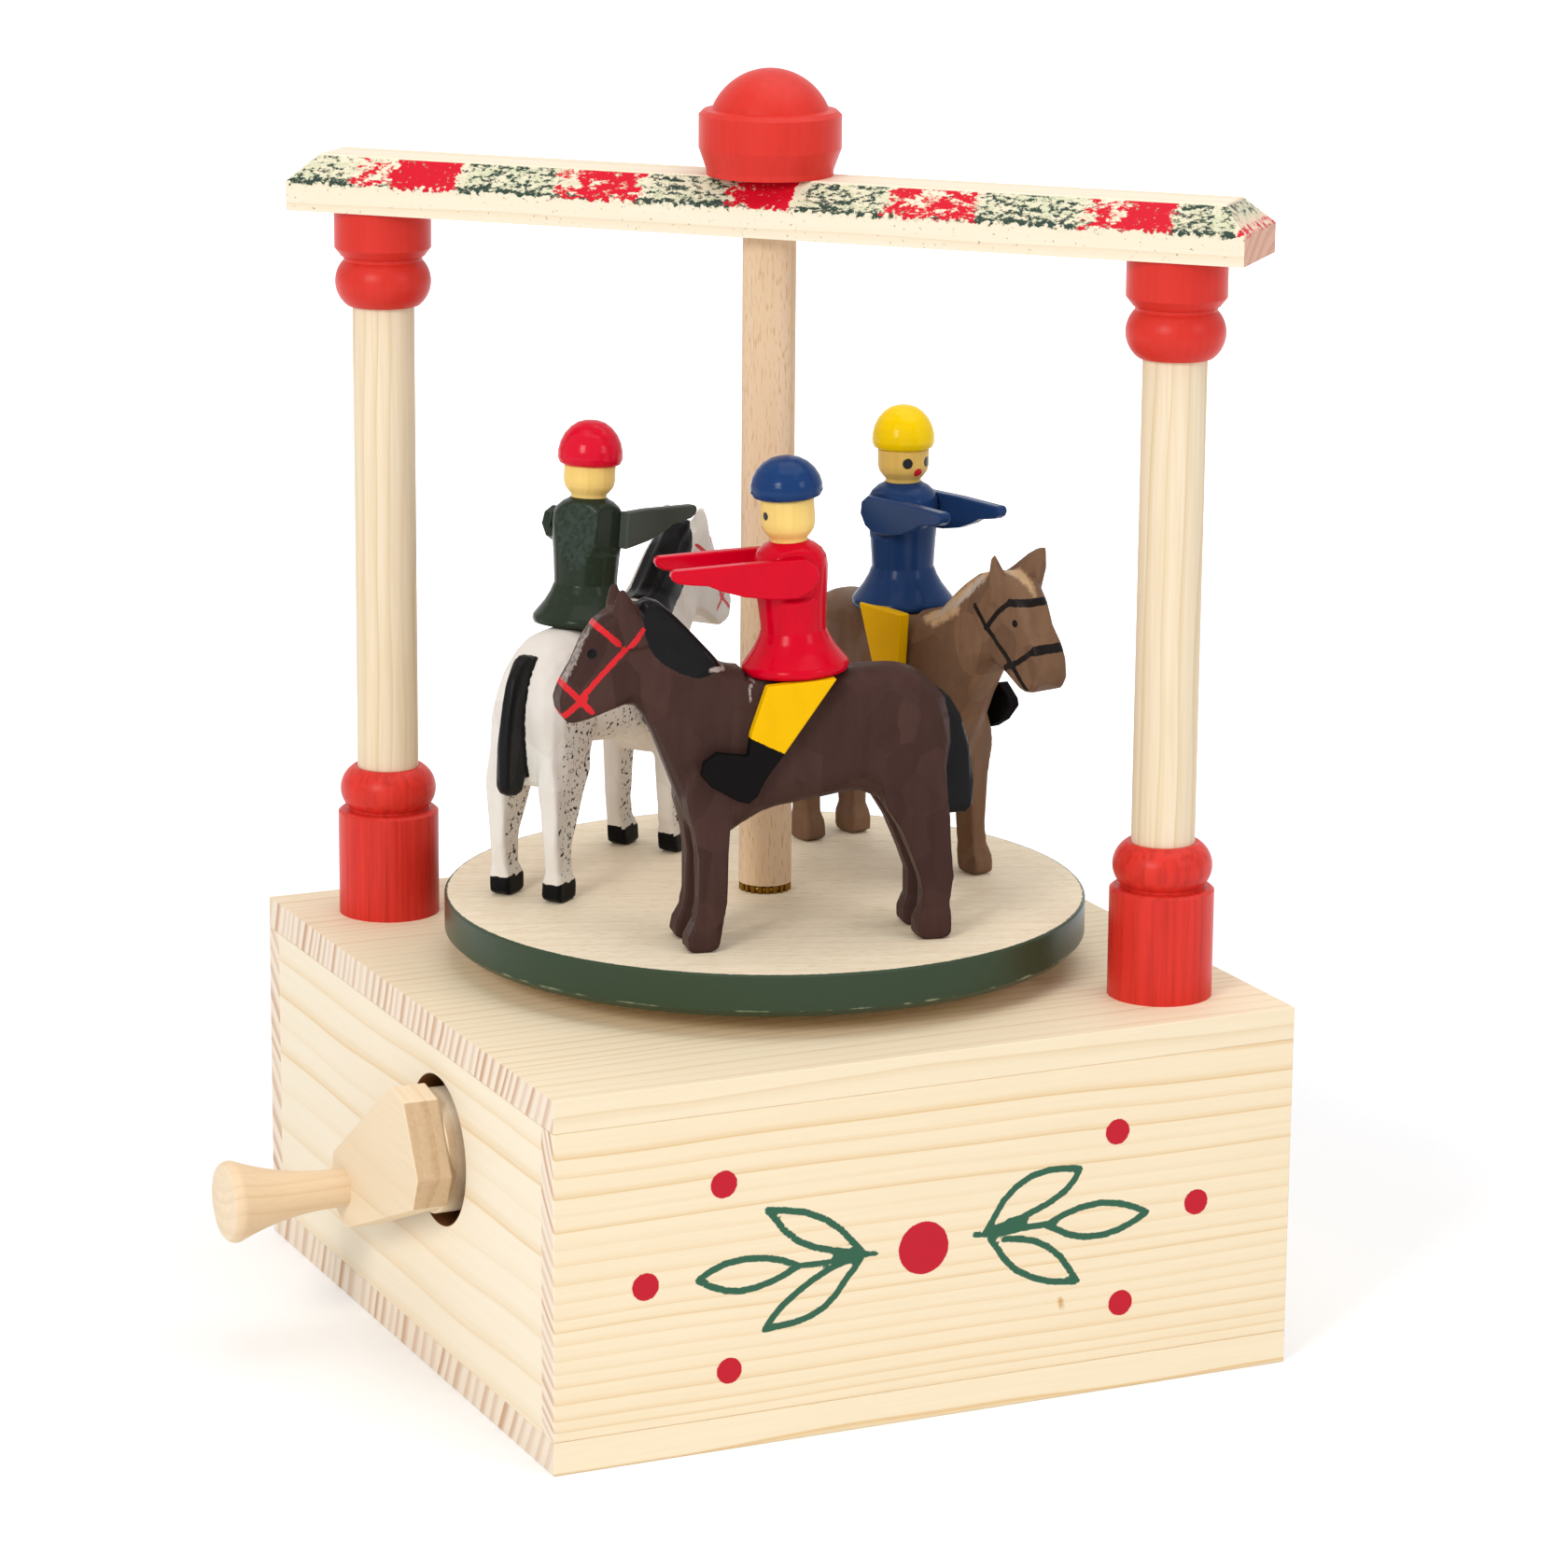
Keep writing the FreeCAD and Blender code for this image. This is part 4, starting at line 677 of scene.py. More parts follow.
def paint(name, code, deep, roughness=0.45, lines=(350, 350, 60), bite=0.3, bump_depth=0.0002,
          coat_weight=0.0, facets=0.0):
    """Brushed paint over carved wood: streaks along the strokes and faint knife facets.

    The bristles' own tracks are 0.1 mm apart, too fine to show, so they are drawn 2 to 3 mm
    apart.
    """
    material, tree, shader = finish_of(name, roughness, Coat_Weight=coat_weight,
                                       Coat_Roughness=0.12, Specular_IOR_Level=0.06)
    spot = add(tree, "ShaderNodeTexCoord")["Object"]
    drawn = add(tree, "ShaderNodeVectorMath", {0: spot, 1: lines}, operation="MULTIPLY")[0]
    stroke = add(tree, "ShaderNodeTexNoise",
                 {"Vector": drawn, "Scale": 1.0, "Detail": 4.0, "Roughness": 0.6})["Fac"]
    cover = add(tree, "ShaderNodeMapRange", {0: stroke, 1: 0.4, 2: 0.75, 3: 0.0, 4: bite})[0]
    colour = add(tree, "ShaderNodeMix", {0: cover, 6: hue(code), 7: hue(deep)},
                 data_type="RGBA")[2]
    cuts = add(tree, "ShaderNodeTexVoronoi", {"Vector": spot, "Scale": 260.0},
               feature="SMOOTH_F1")["Distance"]
    relief = add(tree, "ShaderNodeMath", {0: cuts, 1: stroke}, operation="ADD")[0]
    bump = tree.nodes.new("ShaderNodeBump")
    bump.inputs["Strength"].default_value = 0.4
    bump.inputs["Distance"].default_value = bump_depth
    tree.links.new(relief, bump.inputs["Height"])
    if facets:
        # each knife cut tilts its patch of the surface a little, and takes the paint differently
        warp = add(tree, "ShaderNodeVectorMath", {0: spot, 1: (1.0, 1.0, 0.7)},
                   operation="MULTIPLY")[0]
        patch = add(tree, "ShaderNodeTexVoronoi", {"Vector": warp, "Scale": 210.0})["Color"]
        tilt = add(tree, "ShaderNodeVectorMath", {0: patch, 1: (0.5, 0.5, 0.5)},
                   operation="SUBTRACT")[0]
        tilt = add(tree, "ShaderNodeVectorMath", {0: tilt, "Scale": facets}, operation="SCALE")[0]
        facing = add(tree, "ShaderNodeNewGeometry")["Normal"]
        facing = add(tree, "ShaderNodeVectorMath", {0: facing, 1: tilt}, operation="ADD")[0]
        facing = add(tree, "ShaderNodeVectorMath", {0: facing}, operation="NORMALIZE")[0]
        tree.links.new(facing, bump.inputs["Normal"])
        share = add(tree, "ShaderNodeSeparateXYZ", {0: patch})[1]
        share = add(tree, "ShaderNodeMath", {0: share, 1: 0.55}, operation="MULTIPLY")[0]
        colour = add(tree, "ShaderNodeMix", {0: share, 6: colour, 7: hue(deep)},
                     data_type="RGBA")[2]
    tree.links.new(colour, shader.inputs["Base Color"])
    tree.links.new(bump.outputs[0], shader.inputs["Normal"])
    return material


def from_patch(points, outline):
    """How far each flat point lies outside a closed outline; less than nought inside."""
    best = np.full(len(points), 99.0)
    inside = np.zeros(len(points), bool)
    for a, b in zip(outline, outline[1:] + outline[:1]):
        a, b = np.array(a, float), np.array(b, float)
        way = b - a
        share = np.clip((points - a) @ way / (way @ way), 0, 1)
        best = np.minimum(best, np.linalg.norm(points - a - share[:, None] * way, axis=1))
        crosses = (a[1] > points[:, 1]) != (b[1] > points[:, 1])
        with np.errstate(divide="ignore", invalid="ignore"):
            reach = a[0] + (points[:, 1] - a[1]) * way[0] / way[1]
        inside ^= crosses & (points[:, 0] < reach)
    return np.where(inside, -best, best)


def rounded_off(line):
    """A closed outline with its corners cut off, and the new corners cut off too."""
    line = np.array(line, float)
    for _ in range(2):
        after = np.roll(line, -1, axis=0)
        line = np.stack([0.78 * line + 0.22 * after, 0.22 * line + 0.78 * after],
                        axis=1).reshape(-1, 2)
    return [tuple(p) for p in line]


def net(value, low, step):
    """A closed surface where a field that was sampled on a grid runs through nought."""
    inside = value < 0
    cells = [n - 1 for n in value.shape]
    corners = [(i, j, k) for i in (0, 1) for j in (0, 1) for k in (0, 1)]
    at = {c: tuple(slice(o, o + n) for o, n in zip(c, cells)) for c in corners}
    count = np.zeros(cells)
    place = np.zeros((*cells, 3))
    for a in corners:
        for axis in range(3):
            if a[axis]:
                continue
            b = tuple(1 if n == axis else o for n, o in enumerate(a))
            one, two = value[at[a]], value[at[b]]
            crosses = (one < 0) != (two < 0)
            share = np.where(crosses, one / np.where(crosses, one - two, 1), 0)
            for n in range(3):
                place[..., n] += crosses * (a[n] + (share if n == axis else 0))
            count += crosses
    number = np.full(cells, -1)
    used = count > 0
    number[used] = np.arange(used.sum())
    points = (np.argwhere(used) + place[used] / count[used][:, None]) * step + low
    faces = []
    for axis in range(3):
        one, two = [(1, 2), (2, 0), (0, 1)][axis]
        along = [slice(1, n) for n in cells]
        ahead = [slice(1, n) for n in cells]
        along[axis], ahead[axis] = slice(0, cells[axis]), slice(1, cells[axis] + 1)
        here, there = inside[tuple(along)], inside[tuple(ahead)]
        for first, turned in ((here & ~there, 1), (there & ~here, -1)):
            spot = np.argwhere(first) + [n != axis for n in range(3)]
            quad = []
            for back_one, back_two in ((1, 1), (0, 1), (0, 0), (1, 0))[::turned]:
                cell = spot.copy()
                cell[:, one] -= back_one
                cell[:, two] -= back_two
                quad.append(number[tuple(cell.T)])
            faces.append(np.stack(quad, axis=1))
    return points, np.concatenate(faces)


def blended(a, b, reach):
    """Two fields joined with a soft fillet."""
    h = np.clip(reach - np.abs(a - b), 0, None) / reach
    return np.minimum(a, b) - h * h * reach / 4


def pillow(flat, wall, bend):
    """A sawn outline whose arris is worked round to a radius."""
    bend = np.asarray(bend, float)
    one, two = flat + bend, wall + bend
    corner = np.hypot(np.clip(one, 0, None), np.clip(two, 0, None))
    return np.minimum(np.maximum(one, two), 0) + corner - bend


def guided(u, v, guides, reach=4.0):
    """A smooth field through the values that are given at a few flat places."""
    total, weight = 0.0, 1e-12
    for gu, gv, value in guides:
        near = np.exp(-((u - gu) ** 2 + (v - gv) ** 2) / (2 * reach * reach))
        total, weight = total + near * value, weight + near
    return total / weight


# the side view of the sawn board, in mm along the horse and up from the disc
TRUNK = [(18.3, 16.8), (20.5, 22.5), (23.3, 30.0), (25.5, 34.8), (27.8, 37.0), (31.5, 35.6),
         (33.4, 34.3), (35.4, 33.6), (37.7, 33.8), (38.9, 35.4), (39.1, 38.2), (38.0, 40.9),
         (36.2, 43.6), (34.8, 47.2), (33.0, 49.8), (31.0, 51.3), (28.6, 52.3), (26.2, 52.2),
         (24.5, 51.6), (20.6, 48.9), (16.9, 44.8), (14.4, 42.4), (9.0, 41.6), (0.0, 40.9),
         (-8.0, 41.3), (-12.8, 41.4), (-15.8, 40.4), (-19.4, 37.6), (-21.2, 34.0), (-22.0, 30.0),
         (-21.8, 25.0), (-20.8, 19.0), (-17.0, 17.5), (-13.4, 19.0), (-8.4, 22.2), (-5.8, 22.7),
         (0.9, 21.5), (7.3, 20.7), (11.0, 18.6), (14.0, 16.5)]
FORE_LEG = [(13.5, 19.0), (13.9, 15.5), (13.9, 10.0), (14.0, 6.5), (14.9, 3.4), (15.2, 0),
            (20.2, 0), (20.1, 2.4), (18.9, 4.4), (18.3, 7.5), (18.4, 16.5), (20.6, 23.0),
            (18.5, 28.0), (13.0, 27.0)]
HIND_LEG = [(-20.4, 3.0), (-20.4, 0), (-15.0, 0), (-15.0, 2.6), (-15.9, 4.6), (-16.0, 8.4),
            (-14.3, 12.8), (-12.6, 17.0), (-9.5, 21.5), (-10.0, 28.0), (-17.0, 30.0),
            (-21.3, 26.0), (-21.6, 19.0), (-20.9, 14.0), (-21.0, 9.5), (-20.2, 6.0)]
# half widths from spine to flank, by place on the side view
WIDTHS = [(-15, 31, 6.5), (-19, 24, 6.4), (-5, 30, 5.9), (0, 24, 6.1), (9, 30, 6.2),
          (15, 24, 6.1), (16, 31, 5.9), (19.5, 36, 4.9), (21, 43, 3.7), (25, 47, 3.3),
          (29, 47, 3.7), (31, 41, 3.6), (35, 44, 2.3), (33, 48, 2.9), (38.5, 38, 3.3),
          (36, 35.5, 3.2), (0, 41, 5.6), (-18, 38, 5.0), (22.5, 30, 4.4), (18, 25, 4.8),
          (22, 24, 3.2), (20.5, 19, 4.8)]
# how far its arrises are carved round, by place on the side view
BENDS = [(-14, 31, 4.6), (0, 28, 4.8), (14, 28, 4.2), (20, 38, 3.3), (24, 46, 2.7),
         (30, 46, 2.3), (35, 44, 1.3), (38, 38, 0.9), (36, 35, 1.0), (-20, 24, 3.4), (22, 30, 3.8)]
# half the board's thickness, and the saddle's height and half its length, in mm
BOARD_HALF, SADDLE, SADDLE_HALF = 6.35, 40.9, 8.4


def ear_field(u, y, v, way, ear):
    """A slim leaf that leans out and forward, hollowed in front."""
    root, tip_u, tip_v, lean, wide, deep, ahead, aside = ear
    along = np.clip((v - 47.0) / (tip_v - 47.0), 0, 1)
    middle_u = root + (tip_u - root) * along
    middle_y = way * (1.9 + lean * along)
    spread = np.hypot((u - middle_u) / wide, (y - middle_y) / deep)
    leaf = (spread - (1.0 - along) ** 0.72 - 0.07) * deep * 0.8
    leaf = np.maximum(leaf, np.maximum(46.0 - v, v - tip_v))
    hollow = np.hypot(u - middle_u - ahead, y - middle_y - way * aside)
    hollow = hollow - 0.7 * deep * (1.08 - along)
    return np.maximum(leaf, -hollow)


def knife_cuts(obj, share):
    """A coarse copy of an object to find places on: its triangles are a knife's flat cuts."""
    fewer = obj.modifiers.new("cuts", "DECIMATE")
    fewer.ratio = share
    bpy.context.view_layer.update()
    cut = obj.evaluated_get(bpy.context.evaluated_depsgraph_get()).to_mesh()
    coarse = BVHTree.FromPolygons([v.co[:] for v in cut.vertices],
                                  [tuple(p.vertices) for p in cut.polygons])
    obj.modifiers.clear()
    return coarse


def carved(name):
    """A horse worked round from its sawn board, with its legs, ears, tail and mane."""
    look = LOOKS[name]
    step = 0.38
    low = np.array([-29.0, -7.6, -0.8])
    size = [int(n) for n in np.ceil((np.array([41.0, 7.6, 57.5]) - low) / step)]
    us, ys, vs = (low[n] + step * np.arange(size[n]) for n in range(3))
    u, v = np.meshgrid(us, vs, indexing="ij")
    flat = np.stack([u.ravel(), v.ravel()], axis=1)

    def side(line):
        return from_patch(flat, rounded_off(line)).reshape(size[0], 1, size[2])

    def cut_back(line):
        return [(a + look["haunch"] * math.exp(-((b - 23.5) / 9) ** 2) * (a < -16), b)
                for a, b in line]

    y = ys[None, :, None]
    u, v = u[:, None, :], v[:, None, :]
    half = guided(u, v, WIDTHS)
    shape = pillow(side(cut_back(look["trunk"])), np.abs(y) - half, guided(u, v, BENDS))
    # each pair of legs is the board sawn apart, and they are slimmer between hoof and knee
    gap = look["gap"]
    middle, thick = (BOARD_HALF + gap) / 2, (BOARD_HALF - gap) / 2
    for leg, knee, shift in ((FORE_LEG, 9.0, look["step"][0]), (HIND_LEG, 11.5, look["step"][1])):
        leg = [(a + shift, b) for a, b in cut_back(leg)]
        slim = np.clip((v - 3.2) / 1.6, 0, 1) * np.clip((knee + 6 - v) / 7, 0, 1)
        wall = np.abs(np.abs(y) - middle - 0.1 * slim) - thick + 0.38 * slim
        wall = wall + 0.17 * np.clip(v - 19, 0, 9)
        shape = blended(shape, pillow(side(leg), wall, 0.45), 1.0)
    mane = pillow(side(look["mane"]), np.abs(y - look["mane_side"]) - 1.9, 1.2)
    shape = blended(shape, mane, 0.7)
    tail = pillow(side(look["tail"]), np.abs(y) - look["tail_half"], 0.9)
    shape = blended(shape, tail, 0.5)
    for way, ear in look["ears"].items():
        shape = blended(shape, ear_field(u, y, v, way, ear), 0.25)
    for groove, deep, wide in GROOVES:
        run = from_strokes(flat, [(0.0, groove)]).reshape(size[0], 1, size[2])
        shape = shape + deep * np.exp(-(run / wide) ** 2) * np.clip((np.abs(y) - 2.0) / 2, 0, 1)
    # the saddle is sawn flat for the rider, and the hooves for the disc
    seat_u, lean = look["seat"]
    seat = SADDLE - (u - seat_u) * math.tan(math.radians(lean))
    saddle = np.maximum(np.abs(u - seat_u) - SADDLE_HALF, seat - 0.02 - v)
    shape = np.maximum(shape, -np.broadcast_to(saddle, shape.shape))
    shape = np.maximum(shape, -v)
    points, faces = net(shape, low, step)
    mesh = bpy.data.meshes.new(f"carved_horse_{name}")
    mesh.from_pydata(points.tolist(), [], faces.tolist())
    obj = placed(f"carved_horse_{name}", mesh)
    # knife work everywhere but at the hooves' feet and the saddle
    coarse = knife_cuts(obj, look["cuts"])
    onto = np.array([coarse.find_nearest(p)[0] for p in points])
    free = ((points[:, 2] > 0.25) & (np.abs(points[:, 2] - SADDLE) > 1.2))[:, None]
    points = np.where(free, onto, points)
    origin, axes = stance(name)
    whole = points * [1, 1, look["high"]] @ axes + origin
    mesh.vertices.foreach_set("co", (whole * 0.001).ravel())
    soft = obj.modifiers.new("soft", "SMOOTH")
    soft.factor = 0.3
    soft.iterations = 1
    plain(obj)
    obj.data.polygons.foreach_set("use_smooth", [True] * len(obj.data.polygons))
    return obj


# shallow hollows behind the ribs, behind the shoulder, round the cheek and down the neck: each
# one's line on the side view, its depth and its half width
GROOVES = [
    ([(-8.3, 21.6), (-6.9, 25.0), (-8.0, 28.5), (-11.0, 31.5)], 0.42, 1.3),
    ([(12.2, 19.0), (11.8, 23.5), (13.0, 28.0)], 0.25, 1.4),
    ([(27.5, 38.5), (28.4, 41.5), (30.6, 43.0), (33.0, 41.5)], 0.22, 0.9),
    ([(23.6, 34.5), (21.5, 38.0), (18.0, 41.5)], 0.25, 1.4),
]
DARK_TAIL = [(-17.6, 38.2), (-20.6, 36.6), (-22.8, 33.2), (-24.3, 28.0), (-25.0, 23.0),
             (-24.9, 19.2), (-24.0, 18.0), (-21.4, 17.9), (-19.2, 18.4), (-19.3, 23.0),
             (-19.3, 28.5), (-18.4, 34.3)]
WHITE_TAIL = [(-17.5, 38.6), (-20.7, 39.6), (-23.7, 37.0), (-26.0, 30.5), (-27.2, 23.0),
              (-27.0, 18.6), (-24.0, 17.4), (-21.6, 17.8), (-20.6, 22.0), (-20.2, 28.0),
              (-19.0, 33.5)]
DARK_MANE = [(26.8, 52.9), (26.2, 50.4), (25.8, 47.0), (23.9, 44.0), (20.3, 41.9), (18.0, 41.2),
             (15.8, 42.0), (13.9, 42.4), (17.3, 46.2), (20.9, 50.1), (24.4, 53.2)]
WHITE_MANE = [(26.8, 52.9), (25.4, 50.8), (25.0, 48.0), (23.7, 45.0), (20.4, 41.4), (16.4, 39.0),
              (13.2, 39.6), (12.0, 42.6), (14.2, 43.2), (17.3, 46.2), (20.9, 50.1), (24.4, 53.2)]
TAN_MANE = [(27.4, 50.8), (25.0, 47.9), (22.6, 44.9), (20.0, 42.4), (17.9, 40.8), (15.8, 41.6),
            (13.9, 42.3), (17.3, 45.6), (20.9, 48.4), (24.2, 50.3)]
# how the horses differ, in mm and degrees:
# - "gap": half the space between a pair's legs; "step": how far the fore and hind legs stand on
# - "high": height against the side view; "trunk", "tail", "mane": the outlines on it
# - "seat": the saddle's middle along the horse, and how far it leans; "twist": the rider's turn
# - "mane_side": which way the mane lies; "tail_half": half the tail's thickness
# - "haunch": how far it is cut back beside the tail; "eye": its place and radius
# - "cuts": the share of the triangles that is left for the knife's cuts
# - "ears", left and right: root, tip along, tip up, lean, half width, depth, and the hollow's
#   place before and beside the middle
LOOKS = {
    "dark": {"gap": 1.9, "high": 1.0, "seat": (2.5, 3.3), "twist": 0.0, "tail": DARK_TAIL,
             "mane": DARK_MANE, "mane_side": 1.6, "cuts": 0.014, "tail_half": 1.6, "haunch": 2.1,
             "ears": {1: (28.1, 29.5, 54.9, 1.5, 3.1, 2.6, 2.6, 0.9),
                      -1: (28.4, 29.3, 54.4, 1.5, 2.75, 2.75, 2.3, 0.9)},
             "eye": (33.9, 45.4, 0.85), "step": (0.0, 0.0),
             "trunk": TRUNK[:3] + [(25.5, 35.2), (27.6, 37.5), (29.8, 37.0), (31.8, 36.3),
                                   (34.2, 35.5), (35.9, 35.0), (37.4, 35.0), (38.4, 36.4),
                                   (38.7, 38.4), (37.8, 40.9)] + TRUNK[12:]},
    "white": {"gap": 3.0, "high": 0.978, "seat": (-2.4, 4.5), "twist": -12.0,
              "tail": WHITE_TAIL, "mane": WHITE_MANE, "mane_side": -1.2, "cuts": 0.016,
              "tail_half": 1.1, "haunch": 0.0,
              "ears": {1: (28.6, 28.6, 54.6, 1.3, 2.75, 2.75, 2.3, 0.9),
                       -1: (28.6, 28.6, 54.6, 1.3, 2.75, 2.75, 2.3, 0.9)},
              "eye": (33.9, 45.4, 0.8), "step": (0.0, 0.0), "trunk": TRUNK},
    "tan": {"gap": 2.75, "high": 1.0, "seat": (1.7, -0.8), "twist": -3.0, "tail": DARK_TAIL,
            "mane": TAN_MANE, "mane_side": -1.0, "cuts": 0.014, "tail_half": 1.6, "haunch": 0.0,
            "ears": {1: (26.5, 31.0, 54.6, 2.4, 5.3, 2.5, 2.9, -1.7),
                     -1: (28.6, 28.5, 53.9, 1.6, 2.3, 1.7, 2.2, 0.9)},
            "eye": (33.4, 43.9, 0.65), "step": (-2.4, 1.2),
            "trunk": [(16.2, 16.8), (18.2, 22.5), (21.5, 30.0), (24.6, 34.4)] + TRUNK[4:14]
            + [(33.0, 49.4), (31.0, 50.5), (28.6, 51.0), (26.2, 50.5), (23.4, 49.2),
               (21.0, 47.8), (18.1, 45.7), (15.2, 43.3)] + TRUNK[22:-2]
            + [(9.4, 18.6), (12.4, 16.5)]},
}
# Brushed paint, satin: fine streaks, facets that take it lighter and darker, and soft lights
coats = {
    "dark": paint("dark_brown_horse_paint", "#4A332E", "#33211D", 0.42, bite=0.5, facets=0.3),
    "white": paint("white_horse_paint", "#E9E4DC", "#D9D0C6", 0.42, facets=0.16),
    "tan": paint("light_brown_horse_paint", "#86674F", "#5F4636", 0.42, bite=0.5, facets=0.34),
}
# the bridles' brush strokes on the side view: half the width, then the places
BRIDLES = {
    "dark": [(0.45, [(34.6, 50.6), (31.8, 48.4), (29.9, 46.7)]),
             (0.42, [(26.4, 48.8), (29.2, 45.6), (32.6, 41.9), (35.7, 38.7)]),
             (0.45, [(40.4, 43.2), (36.3, 39.2), (33.9, 36.7)]),
             (0.45, [(39.0, 35.4), (36.7, 37.4), (34.9, 38.9)])],
    "tan": [(0.42, [(24.2, 45.2), (27.0, 42.3), (31.7, 38.6), (36.4, 34.4)]),
            (0.42, [(27.0, 42.1), (29.5, 45.0), (32.1, 46.9)]),
            (0.6, [(32.1, 46.9), (36.0, 47.2)]),
            (0.45, [(31.6, 36.8), (34.6, 38.2), (37.6, 40.2)]),
            (0.75, [(37.9, 40.4), (40.5, 41.6)])],
}
BRIDLES["white"] = [(0.28, line) for _, line in BRIDLES["dark"]]


def dot_at(material, spot, radius):
    """Distance in mm from a small round dab at a place on a piece."""
    tree = material.node_tree
    here = add(tree, "ShaderNodeTexCoord")["Object"]
    gap = add(tree, "ShaderNodeVectorMath", {0: here, 1: [0.001 * c for c in spot]},
              operation="DISTANCE")["Value"]
    return add(tree, "ShaderNodeMath", {0: gap, 1: 1000.0, 2: -radius},
               operation="MULTIPLY_ADD")[0]


# pale strokes along arrises, partly rubbed bare and partly painted highlight: along the dark one's
# face outline, at the end of its mane and beside its saddle, and along the tan one's mane
RUBBED_AND_HIGHLIT = {
    "dark": [(0.1, [(31.6, 51.3), (33.3, 49.8), (34.9, 47.0), (36.3, 43.6), (37.9, 40.8)]),
             (0.3, [(16.2, 42.2), (14.2, 42.3)]),
             (0.16, [(10.8, 37.7), (10.6, 39.7), (9.6, 40.9)])],
    "tan": [(0.45, [(25.2, 49.3), (22.0, 46.6), (19.4, 44.4)]),
            (0.3, [(18.4, 44.6), (15.0, 42.0)])],
}
# a pale forelock, and pale strokes down the side of the neck, in mm along, to the left and up
BLOND = [
    (1.3, [(28.2, 0.0, 51.0), (30.4, 0.0, 50.7)]),
    (0.95, [(30.4, 0.0, 50.7), (32.0, 0.1, 49.8)]),
    (0.6, [(32.0, 0.1, 49.8), (33.4, 0.1, 48.3)]),
    (0.35, [(33.4, 0.1, 48.3), (34.2, 0.1, 47.2)]),
    (1.1, [(25.4, -2.0, 49.6), (21.5, -2.5, 46.6), (17.4, -3.0, 43.8), (13.4, -3.6, 41.4)]),
    (0.7, [(20.0, -3.6, 43.8), (15.0, -4.2, 41.0)]),
]
BLACK = "#121112"
BRIDLE_HUES = {"dark": "#D22A30", "white": "#D2474A", "tan": "#1E1A19"}
for name, look in LOOKS.items():
    horse = carved(name)
    horse_coat = coats[name]
    origin, axes = stance(name)
    own = (spots(horse) - origin) @ axes.T / [1, 1, look["high"]]
    side = own[:, [0, 2]]
    if name != "tan":
        mane = from_patch(side, rounded_off(look["mane"])) - 0.2
        off_mane = np.abs(own[:, 1] - look["mane_side"]) - (3.4 if name == "white" else 2.6)
        store(horse, "mane_paint", np.maximum(mane, off_mane))
        mark(horse_coat, "mane_paint", BLACK, ragged=0.25, rough=0.32, shine=0.1)
        tail = from_patch(side, rounded_off(look["tail"])) - 0.25
        off_tail = np.abs(own[:, 1]) - look["tail_half"] - 0.3
        store(horse, "tail_paint", np.maximum(tail, off_tail))
        mark(horse_coat, "tail_paint", BLACK, ragged=0.2, rough=0.4, shine=0.12)
    if name == "white":
        store(horse, "hoof_paint", own[:, 2] - 3.0 - 0.16 * (own[:, 0] % 3))
        mark(horse_coat, "hoof_paint", BLACK, ragged=0.25, rough=0.3)
        # flecks lie where they were sprayed from, on legs, belly and jaw; real ones run down to
        # a tenth of a millimetre, and most are drawn half of one wide so that they show
        normals = np.zeros(len(own) * 3)
        horse.data.vertices.foreach_get("normal", normals)
        normals = normals.reshape(-1, 3) @ axes.T
        spray = np.clip((normals @ [0.62, -0.76, -0.15] - 0.2) / 0.6, 0, 1)
        under = np.clip((40 - own[:, 2]) / 14, 0.15, 1) * np.clip((own[:, 2] - 2) / 3, 0, 1)
        rear = np.clip((own[:, 0] + 24) / 5, 0, 1)
        store(horse, "flecked", spray * under * rear)
        tree = horse_coat.node_tree
        here = add(tree, "ShaderNodeTexCoord")["Object"]
        speck = add(tree, "ShaderNodeTexNoise",
                    {"Vector": here, "Scale": 1350.0, "Detail": 3.0, "Roughness": 0.6})["Fac"]
        flecked = add(tree, "ShaderNodeAttribute", attribute_name="flecked")["Fac"]
        level = add(tree, "ShaderNodeMapRange", {0: flecked, 3: 0.76, 4: 0.575})[0]
        gap = add(tree, "ShaderNodeMath", {0: level, 1: speck}, operation="SUBTRACT")[0]
        mark(horse_coat, gap, "#2A2320", soft=0.008, rough=0.5)
    else:
        # the pale strokes lie on the dark one's left side only, the tan one's on its right
        far = own[:, 1] if name == "tan" else -own[:, 1]
        store(horse, "rubbed", from_strokes(side, RUBBED_AND_HIGHLIT[name]) + np.clip(far - 1.0, 0, 9))
    if name == "tan":
        store(horse, "blond", from_strokes(own, BLOND))
        mark(horse_coat, "blond", "#C4A37C", soft=0.4, ragged=0.6)
        mark(horse_coat, "rubbed", "#B9AC9F", soft=0.3, ragged=0.9)
    if name == "dark":
        # the line along the dark one's face outline is a painted highlight, the rest rubbed wear
        mark(horse_coat, "rubbed", "#A89B93", soft=0.12, ragged=0.4)
    store(horse, "bridle_paint", from_strokes(side, BRIDLES[name]))
    mark(horse_coat, "bridle_paint", BRIDLE_HUES[name], ragged=0.15, rough=0.35)
    eye_u, eye_v, eye_radius = look["eye"]
    for way in (-1, 1):
        spot = np.array([eye_u, way * 3.3, eye_v]) * [1, 1, look["high"]] @ axes + origin
        mark(horse_coat, dot_at(horse_coat, spot, eye_radius), "#141314", rough=0.15)
    horse.data.materials.append(horse_coat)
    settle(horse, "carousel", f"horse_{name}")

# ------------------------------------------------------------------------------- riders
# A rider is turned in three pieces and glued up: jacket and cap dipped in gloss paint, and a bare
# limewood head between them.  The arms and legs are flat slips of wood glued on, the arms in the
# jacket's colour, the legs yellow with black boots.

# each paint's colour, and the darker one that its lows have
GLOSS = {
    "red": ("#CF0022", "#B0001A"), "green": ("#2A3327", "#1C241B"), "navy": ("#203C6A", "#182E52"),
    "blue": ("#153768", "#122B55"), "cap_red": ("#DA0E2E", "#B90A22"),
    "yellow": ("#F1CB00", "#DDB300"), "breeches": ("#ECB600", "#D79F00"),
    "dull_green": ("#4A5049", "#393F38"),
}


